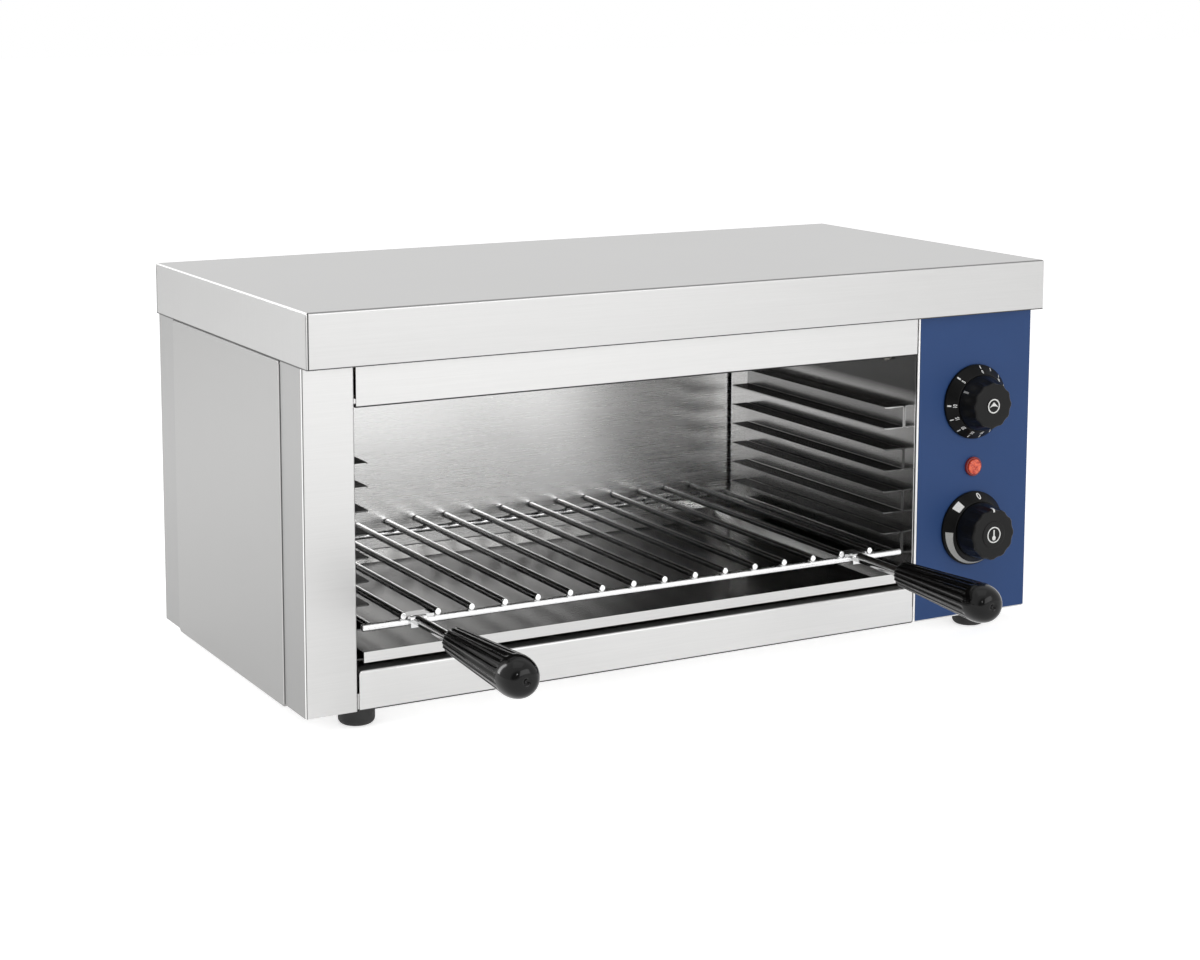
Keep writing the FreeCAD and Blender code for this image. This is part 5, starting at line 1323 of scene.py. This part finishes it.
    def face_ring(self, name: str, radius: float, material: Material) -> None:
        """A printed circle on the raised disc.

        Args:
            name: The piece's name.
            radius: Its outer radius.
            material: Its ink.
        """
        angle = np.linspace(0.0, 2 * math.pi, 97)
        rows = [(away * np.sin(angle), away * np.cos(angle)) for away in (radius - self.ring_width, radius)]
        self.face_mark(name, between(*rows), material)

    def side_mark(self, name: str, clock: float, half_width: float, span: Span, material: Material) -> None:
        """A mark laid over the knob's side and edge.

        Args:
            name: The piece's name.
            clock: Its clock angle in degrees.
            half_width: Half its width in metres.
            span: Where it starts and ends along the outline, as shares of the run from base to face.
            material: Its ink.
        """
        along, away, lobing = self.outline()
        run = np.concatenate([[0.0], np.cumsum(np.hypot(np.diff(along), np.diff(away)))])
        first = int(np.argmax(away >= self.base - SAME))
        last = int(np.argmax((np.arange(len(away)) > first) & (away <= self.boss + SAME)))
        where = run[first] + np.linspace(*span, 24) * (run[last] - run[first])
        turn = math.radians(clock) + np.linspace(-half_width, half_width, 5) / self.face
        at_along, at_away, at_lobing = (np.interp(where, run, values) for values in (along, away, lobing))
        top, bottom = (self.ring(at_along + lift, at_away + lift, at_lobing, turn)
                       for lift in (self.side_ink_lift, -self.ink_sink))
        attach(slab(name, top, bottom), self.body, material)


@dataclass
class Scale:
    """Marks printed on the sloping skirt of a dial."""

    control: str
    body: Body
    rim: float = 58.0 * MM / 2
    top: float = 45.0 * MM / 2
    rim_height: float = 1.8 * MM
    rise: float = 7.0 * MM
    lift: float = 0.07 * MM
    sink: float = 0.05 * MM
    type_thickness: float = 0.5
    type_boldness: float = 0.025
    type_steps: int = 3

    def on_cone(self, clock: np.ndarray, away: np.ndarray, lift: float) -> np.ndarray:
        """Points on the skirt's cone, which rises evenly from its rim to its top.

        Args:
            clock: Clock angles in radians.
            away: Distances from the axis.
            lift: How far the points stand off the cone.

        Returns:
            The points, with the shape of the two arrays broadcast together.
        """
        _, high, middle = box_of(f"{self.control}_dial")
        slope = self.rise / (self.rim - self.top)
        size = math.hypot(1.0, slope)
        height = self.rim_height + (self.rim - away) * slope + lift / size
        out = away + lift * slope / size
        clock, height, out = np.broadcast_arrays(clock, height, out)
        x, z = middle[0] + out * np.sin(clock), middle[2] + out * np.cos(clock)
        return np.stack([x, high[1] - height, z], axis=-1)

    def patch(self, name: str, clock: np.ndarray, inner: Union[float, np.ndarray], outer: float,
              material: Material, steps: int = 2) -> None:
        """A printed patch between two radii at each clock angle.

        Args:
            name: The piece's name.
            clock: Clock angles in radians.
            inner: The inner radius at each of them, or one for all.
            outer: The outer radius.
            material: Its ink.
            steps: Points from the inner to the outer radius.
        """
        inner, outer = (np.broadcast_to(radius, clock.shape)[:, None] for radius in (inner, outer))
        away = inner + np.linspace(0.0, 1.0, steps)[None, :] * (outer - inner)
        grids = [self.on_cone(clock[:, None], away, lift) for lift in (self.lift, -self.sink)]
        attach(slab(name, *grids), self.body, material)

    def tick(self, name: str, clock: float, span: Span, width: float, material: Material) -> None:
        """A straight radial tick.

        Args:
            name: The piece's name.
            clock: Its clock angle in degrees.
            span: Its inner and outer radius.
            width: Its width in metres.
            material: Its ink.
        """
        turn = math.radians(clock) + np.linspace(-width / 2, width / 2, 4) / np.mean(span)
        self.patch(name, turn, *span, material)

    def number(self, name: str, text: str, clock: float, away: float, size: float, material: Material,
               widen: float = 1.0) -> None:
        """A number, turned so that its head points outwards, wrapped on to the cone.

        Args:
            name: The piece's name.
            text: The digits.
            clock: The clock angle of its middle in degrees.
            away: The radius of its middle.
            size: The height of the type.
            material: Its ink.
            widen: How much wider than the type it is printed.
        """
        curve = bpy.data.curves.new(name + "_type", "FONT")
        curve.body = text
        curve.size = size
        curve.align_x = curve.align_y = "CENTER"
        curve.extrude = self.type_thickness
        curve.offset = self.type_boldness * size
        curve.resolution_u = self.type_steps
        source = linked(name + "_type", curve)
        mesh = bpy.data.meshes.new_from_object(source)
        bpy.data.objects.remove(source)
        bpy.data.curves.remove(curve)
        mesh.name = name
        flat = np.zeros(len(mesh.vertices) * 3)
        mesh.vertices.foreach_get("co", flat)
        right, up, front = flat.reshape(-1, 3).T
        turn = math.radians(clock) + right * widen / away
        outer, inner = (self.on_cone(turn, away + up, lift) for lift in (self.lift, -self.sink))
        mesh.vertices.foreach_set("co", np.where(front[:, None] > 0, outer, inner).ravel())
        mesh.update()
        attach(linked(name, mesh), self.body, material)


@dataclass
class Timer:
    """The upper control: its knob, its skirt and a scale of minutes."""

    white: Colour = (0.85, 0.85, 0.83)
    grey: Colour = (0.3, 0.3, 0.29)
    face: float = 36.0 * MM / 2
    boss: float = 12.5 * MM / 2
    ring: float = 5.6 * MM
    hands_half: float = 4.7 * MM
    hands_top: float = 3.1 * MM
    hands_fall: float = 4.6 * MM
    hands_bow: float = 1.5 * MM
    least: float = 0.05 * MM
    # A grey mark laid over the knob's side at this clock angle.
    grey_mark_clock: float = -60.0
    side_mark_half: float = 0.7 * MM
    side_mark_span: Span = (0.03, 0.22)
    ticks: tuple[float, ...] = (
        3.8, -42.8, -91.8, -116.2, -140.0, -162.9, -185.7, -207.2, -229.0, -250.5, -272.0, -293.5, -313.1)
    blank_tick: float = -334.8
    heavy: tuple[int, ...] = (1, 2)
    tick_width: float = 0.85 * MM
    heavy_width: float = 1.25 * MM
    tick_span: Span = (26.0 * MM, 28.1 * MM)
    minutes: int = 5
    number_radius: float = 23.9 * MM
    number_size: float = 3.0 * MM

    def hands(self) -> np.ndarray:
        """The clock hands' outline: straight sides that fall from the middle, over a bowed lower edge.

        Returns:
            Rows of two points, (right, up) from the axis.
        """
        share = np.linspace(-1.0, 1.0, 25)
        bottom = -self.hands_bow + self.hands_bow * (1 - share**2)
        top = np.maximum(self.hands_top - self.hands_fall * np.abs(share), bottom + self.least)
        return between((share * self.hands_half, bottom), (share * self.hands_half, top))

    def build(self, plastic: Material) -> None:
        """Makes the knob with a grey mark on its side and its clock mark, and prints the scale.

        Args:
            plastic: The knob's material.
        """
        white = ink("dial_white_ink", self.white).material()
        grey = ink("grey_side_ink", self.grey).material()
        knob = Knob("timer", Body.TIMER, self.face, self.boss)
        knob.build(plastic)
        knob.face_ring("timer_mark_ring", self.ring, white)
        knob.face_mark("timer_mark_hands", self.hands(), white)
        knob.side_mark("timer_grey_side_mark", self.grey_mark_clock, self.side_mark_half, self.side_mark_span, grey)
        scale = Scale("timer", Body.TIMER)
        for index, clock in enumerate(self.ticks):
            width = self.heavy_width if index in self.heavy else self.tick_width
            scale.tick(f"timer_tick_{index}", clock, self.tick_span, width, white)
            scale.number(f"timer_number_{index}", str(self.minutes * index), clock, self.number_radius,
                         self.number_size, white)
        scale.tick("timer_tick_blank", self.blank_tick, self.tick_span, self.tick_width, white)


@dataclass
class Thermostat:
    """The lower control: its knob, its skirt with a zero, a block and a band that narrows as it cools."""

    white: Colour = (0.85, 0.85, 0.83)
    toned: Colour = (0.42, 0.42, 0.4)
    dot_scale: float = 1500.0
    face: float = 40.0 * MM / 2
    boss: float = 21.0 * MM / 2
    ring: float = 6.3 * MM
    bulb: float = 1.7 * MM
    bulb_share: float = 0.42
    bulb_middle: float = 0.225
    stem: float = 0.62 * MM
    least: float = 0.05 * MM
    mark_foot: float = -4.3 * MM
    mark_height: float = 8.2 * MM
    side_mark_half: float = 0.8 * MM
    side_mark_span: Span = (0.52, 0.735)
    zero_clock: float = 5.0
    zero_radius: float = 25.6 * MM
    zero_size: float = 5.6 * MM
    zero_widen: float = 1.3
    block_clock: Span = (-50.0, -34.0)
    block_span: Span = (23.4 * MM, 27.8 * MM)
    band_start: float = -90.0
    band_sweep: float = 110.0
    band_outer: float = 27.6 * MM
    band_width: float = 4.2 * MM
    band_narrowing: float = 3.5 * MM

    def thermometer(self) -> np.ndarray:
        """The mark's outline: a round bulb by the equation of a circle, below a straight stem.

        Returns:
            Rows of two points, (right, up) from the axis.
        """
        rise = np.linspace(0.0, 1.0, 40)
        chord = np.sqrt(np.clip(1 - (rise / self.bulb_middle - 1) ** 2, 0.0, 1.0))
        half = np.where(rise < self.bulb_share, np.maximum(self.bulb * chord, self.least), self.stem)
        up = self.mark_foot + rise * self.mark_height
        return between((-half, up), (half, up))

    def build(self, plastic: Material) -> None:
        """Makes the knob with its pointer and thermometer mark, and prints the scale.

        Args:
            plastic: The knob's material.
        """
        white = ink("thermostat_white_ink", self.white).material()
        tone = ink("thermostat_toned_ink", self.toned, self.dot_scale).material()
        knob = Knob("thermostat", Body.THERMOSTAT, self.face, self.boss)
        knob.build(plastic)
        knob.face_ring("thermostat_mark_ring", self.ring, white)
        knob.face_mark("thermostat_mark_stem", self.thermometer(), white)
        knob.side_mark("thermostat_pointer", 0.0, self.side_mark_half, self.side_mark_span, white)
        scale = Scale("thermostat", Body.THERMOSTAT)
        scale.number("thermostat_number_off", "0", self.zero_clock, self.zero_radius, self.zero_size, white,
                     self.zero_widen)
        scale.patch("thermostat_block", np.radians(np.linspace(*self.block_clock, 9)), *self.block_span, white)
        share = np.linspace(0.0, 1.0, 61)
        inner = self.band_outer - (self.band_width - self.band_narrowing * share)
        turn = np.radians(self.band_start - self.band_sweep * share)
        scale.patch("thermostat_band", turn, inner, self.band_outer, tone, 4)


@dataclass
class PilotLens:
    """The lens of the pilot lamp: a low dome cut into small pyramids."""

    pitch: float = 1.25 * MM
    cut: float = 0.22 * MM
    dome_fall: float = 0.7 * MM
    tip: float = 0.02
    rim: float = 0.08
    rings: int = 56
    around: int = 160
    smooth_angle: float = 50.0

    def build(self) -> None:
        """The height is a low dome, flat at its foot, plus a lattice of two crossing triangle waves."""
        low, high, middle = box_of("pilot_lamp_lens")
        depth = high[1] - low[1]
        share = np.linspace(1.0, self.tip, self.rings)[:, None]
        angle = circle(self.around)[None, :]
        x, z = (((high[0] - low[0]) / 2) * share * part(angle) for part in (np.sin, np.cos))
        wave = sum(np.abs(way / self.pitch % 1.0 - 0.5) for way in (x + z, x - z))
        dome = depth - self.dome_fall * share**4
        height = dome - self.cut * (1.0 - wave) * smoothstep((1.0 - share) / self.rim)
        front = np.stack([middle[0] + x, high[1] - np.minimum(height, depth), middle[2] + z], axis=-1)
        back = np.stack([middle[0] + x[:1], np.full((1, self.around), high[1]), middle[2] + z[:1]], axis=-1)
        piece = turned_solid("pilot_lens_pyramids", np.concatenate([back, front]), self.smooth_angle)
        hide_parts("pilot_lamp_lens")
        attach(piece, Body.CASING, LENS_PLASTIC.material())


@dataclass(frozen=True)
class Softbox:
    """A soft rectangular lamp turned to the object."""

    name: str
    place: Point
    size: Span
    power: float
    aim: Point = (0.0, 0.0, 0.15)

    def build(self) -> None:
        """Hangs the lamp, unseen by the camera."""
        lamp = bpy.data.lights.new(self.name, "AREA")
        lamp.shape = "RECTANGLE"
        lamp.size, lamp.size_y = self.size
        lamp.energy = self.power
        holder = linked(self.name, lamp)
        holder.location = self.place
        holder.rotation_euler = (Vector(self.aim) - Vector(self.place)).to_track_quat("-Z", "Y").to_euler()
        holder.visible_camera = False


@dataclass
class Studio:
    """The floor, the soft light and the camera."""

    eye: Point = (-0.8757, -1.5079, 0.5092)
    azimuth: float = 29.031
    elevation: float = 7.916
    roll: float = 0.125
    focal_pixels: float = 2368.2
    frame_width: float = 1200.0
    frame_height: float = 960.0
    principal_row: float = 300.0
    sensor: float = 36.0
    ambient: float = 0.62
    dim_direction: Point = (-0.495, -0.86, 0.12)
    dim_span: Span = (0.72, 0.93)
    dimming: float = 0.8
    floor_half: float = 12.0
    lamps: tuple[Softbox, ...] = (
        Softbox("key_softbox", (0.6, -2.5, 0.9), (1.8, 1.4), 16.0),
        Softbox("top_softbox", (-0.3, -0.4, 2.6), (2.2, 1.8), 6.0),
        Softbox("camera_spark", (-0.72, -1.62, 0.66), (0.14, 0.14), 1.6),
        Softbox("side_softbox", (-1.3, 1.0, 0.75), (0.3, 1.3), 11.0),
    )

    def build(self) -> None:
        """Sets the view, the world, the floor, the lamps and the camera."""
        scene = bpy.context.scene
        scene.view_settings.view_transform = "Standard"
        self.add_world(scene)
        self.add_floor()
        for lamp in self.lamps:
            lamp.build()
        self.add_camera(scene)
        LOG.info("studio built")

    def add_world(self, scene: bpy.types.Scene) -> None:
        """A white surround that lights the object a little less than it shows, and is dim at the camera.

        Args:
            scene: The scene.
        """
        world = bpy.data.worlds.new("studio_surround")
        world.use_nodes = True
        scene.world = world
        board = Board(world.node_tree)
        direction = board.make("ShaderNodeTexCoord", output="Generated")
        likeness = board.compared("DOT_PRODUCT", direction, self.dim_direction)
        dim = board.ray("Is Glossy Ray") * board.spread(likeness, *self.dim_span, 0.0, self.dimming)
        strength = self.ambient + (1.0 - self.ambient) * board.seen_directly() - dim
        surround = board.make("ShaderNodeBackground", values={"Color": (1.0,) * 4, "Strength": strength})
        board.make("ShaderNodeOutputWorld", values={"Surface": surround})

    def add_floor(self) -> None:
        """One large flat square under the feet."""
        far, near = self.floor_half, -self.floor_half
        mesh = bpy.data.meshes.new("studio_floor")
        corners = [(near, near, 0.0), (far, near, 0.0), (far, far, 0.0), (near, far, 0.0)]
        mesh.from_pydata(corners, [], [[0, 1, 2, 3]])
        floor = linked("studio_floor", mesh)
        mesh.materials.append(StudioFloor().material())

    def add_camera(self, scene: bpy.types.Scene) -> None:
        """Places the camera by its azimuth, elevation and roll, with the horizon above the frame's middle.

        Args:
            scene: The scene.
        """
        turn, tilt, roll = (math.radians(value) for value in (self.azimuth, self.elevation, self.roll))
        ahead = Vector((math.sin(turn) * math.cos(tilt), math.cos(turn) * math.cos(tilt), -math.sin(tilt)))
        level = Vector((math.cos(turn), -math.sin(turn), 0.0))
        above = level.cross(ahead)
        right = level * math.cos(roll) + above * math.sin(roll)
        up = above * math.cos(roll) - level * math.sin(roll)
        lens = bpy.data.cameras.new("product_camera")
        lens.sensor_fit = "HORIZONTAL"
        lens.sensor_width = self.sensor
        lens.lens = self.focal_pixels / self.frame_width * self.sensor
        lens.shift_y = (self.principal_row - self.frame_height / 2) / self.frame_width
        camera = linked("product_camera", lens)
        pose = Matrix((right, up, -ahead)).transposed().to_4x4()
        pose.translation = Vector(self.eye)
        camera.matrix_world = pose
        scene.camera = camera


def main() -> None:
    """Builds the sub-assemblies in order."""
    logging.basicConfig(level=logging.INFO, format="%(message)s")
    for assembly in (Studio(), Casing(), Chamber(), Heating(), Fittings(), Grate()):
        assembly.build()
    satin = MouldedPlastic("knob_satin_phenolic", (0.005, 0.005, 0.005), 0.34, specular=0.2).material()
    skirt = MouldedPlastic("dial_satin_phenolic", (0.004, 0.004, 0.004), 0.34, specular=0.12)
    dress(skirt, "timer_dial", "thermostat_dial")
    Timer().build(satin)
    Thermostat().build(satin)
    PilotLens().build()


if __name__ == "__main__":
    main()
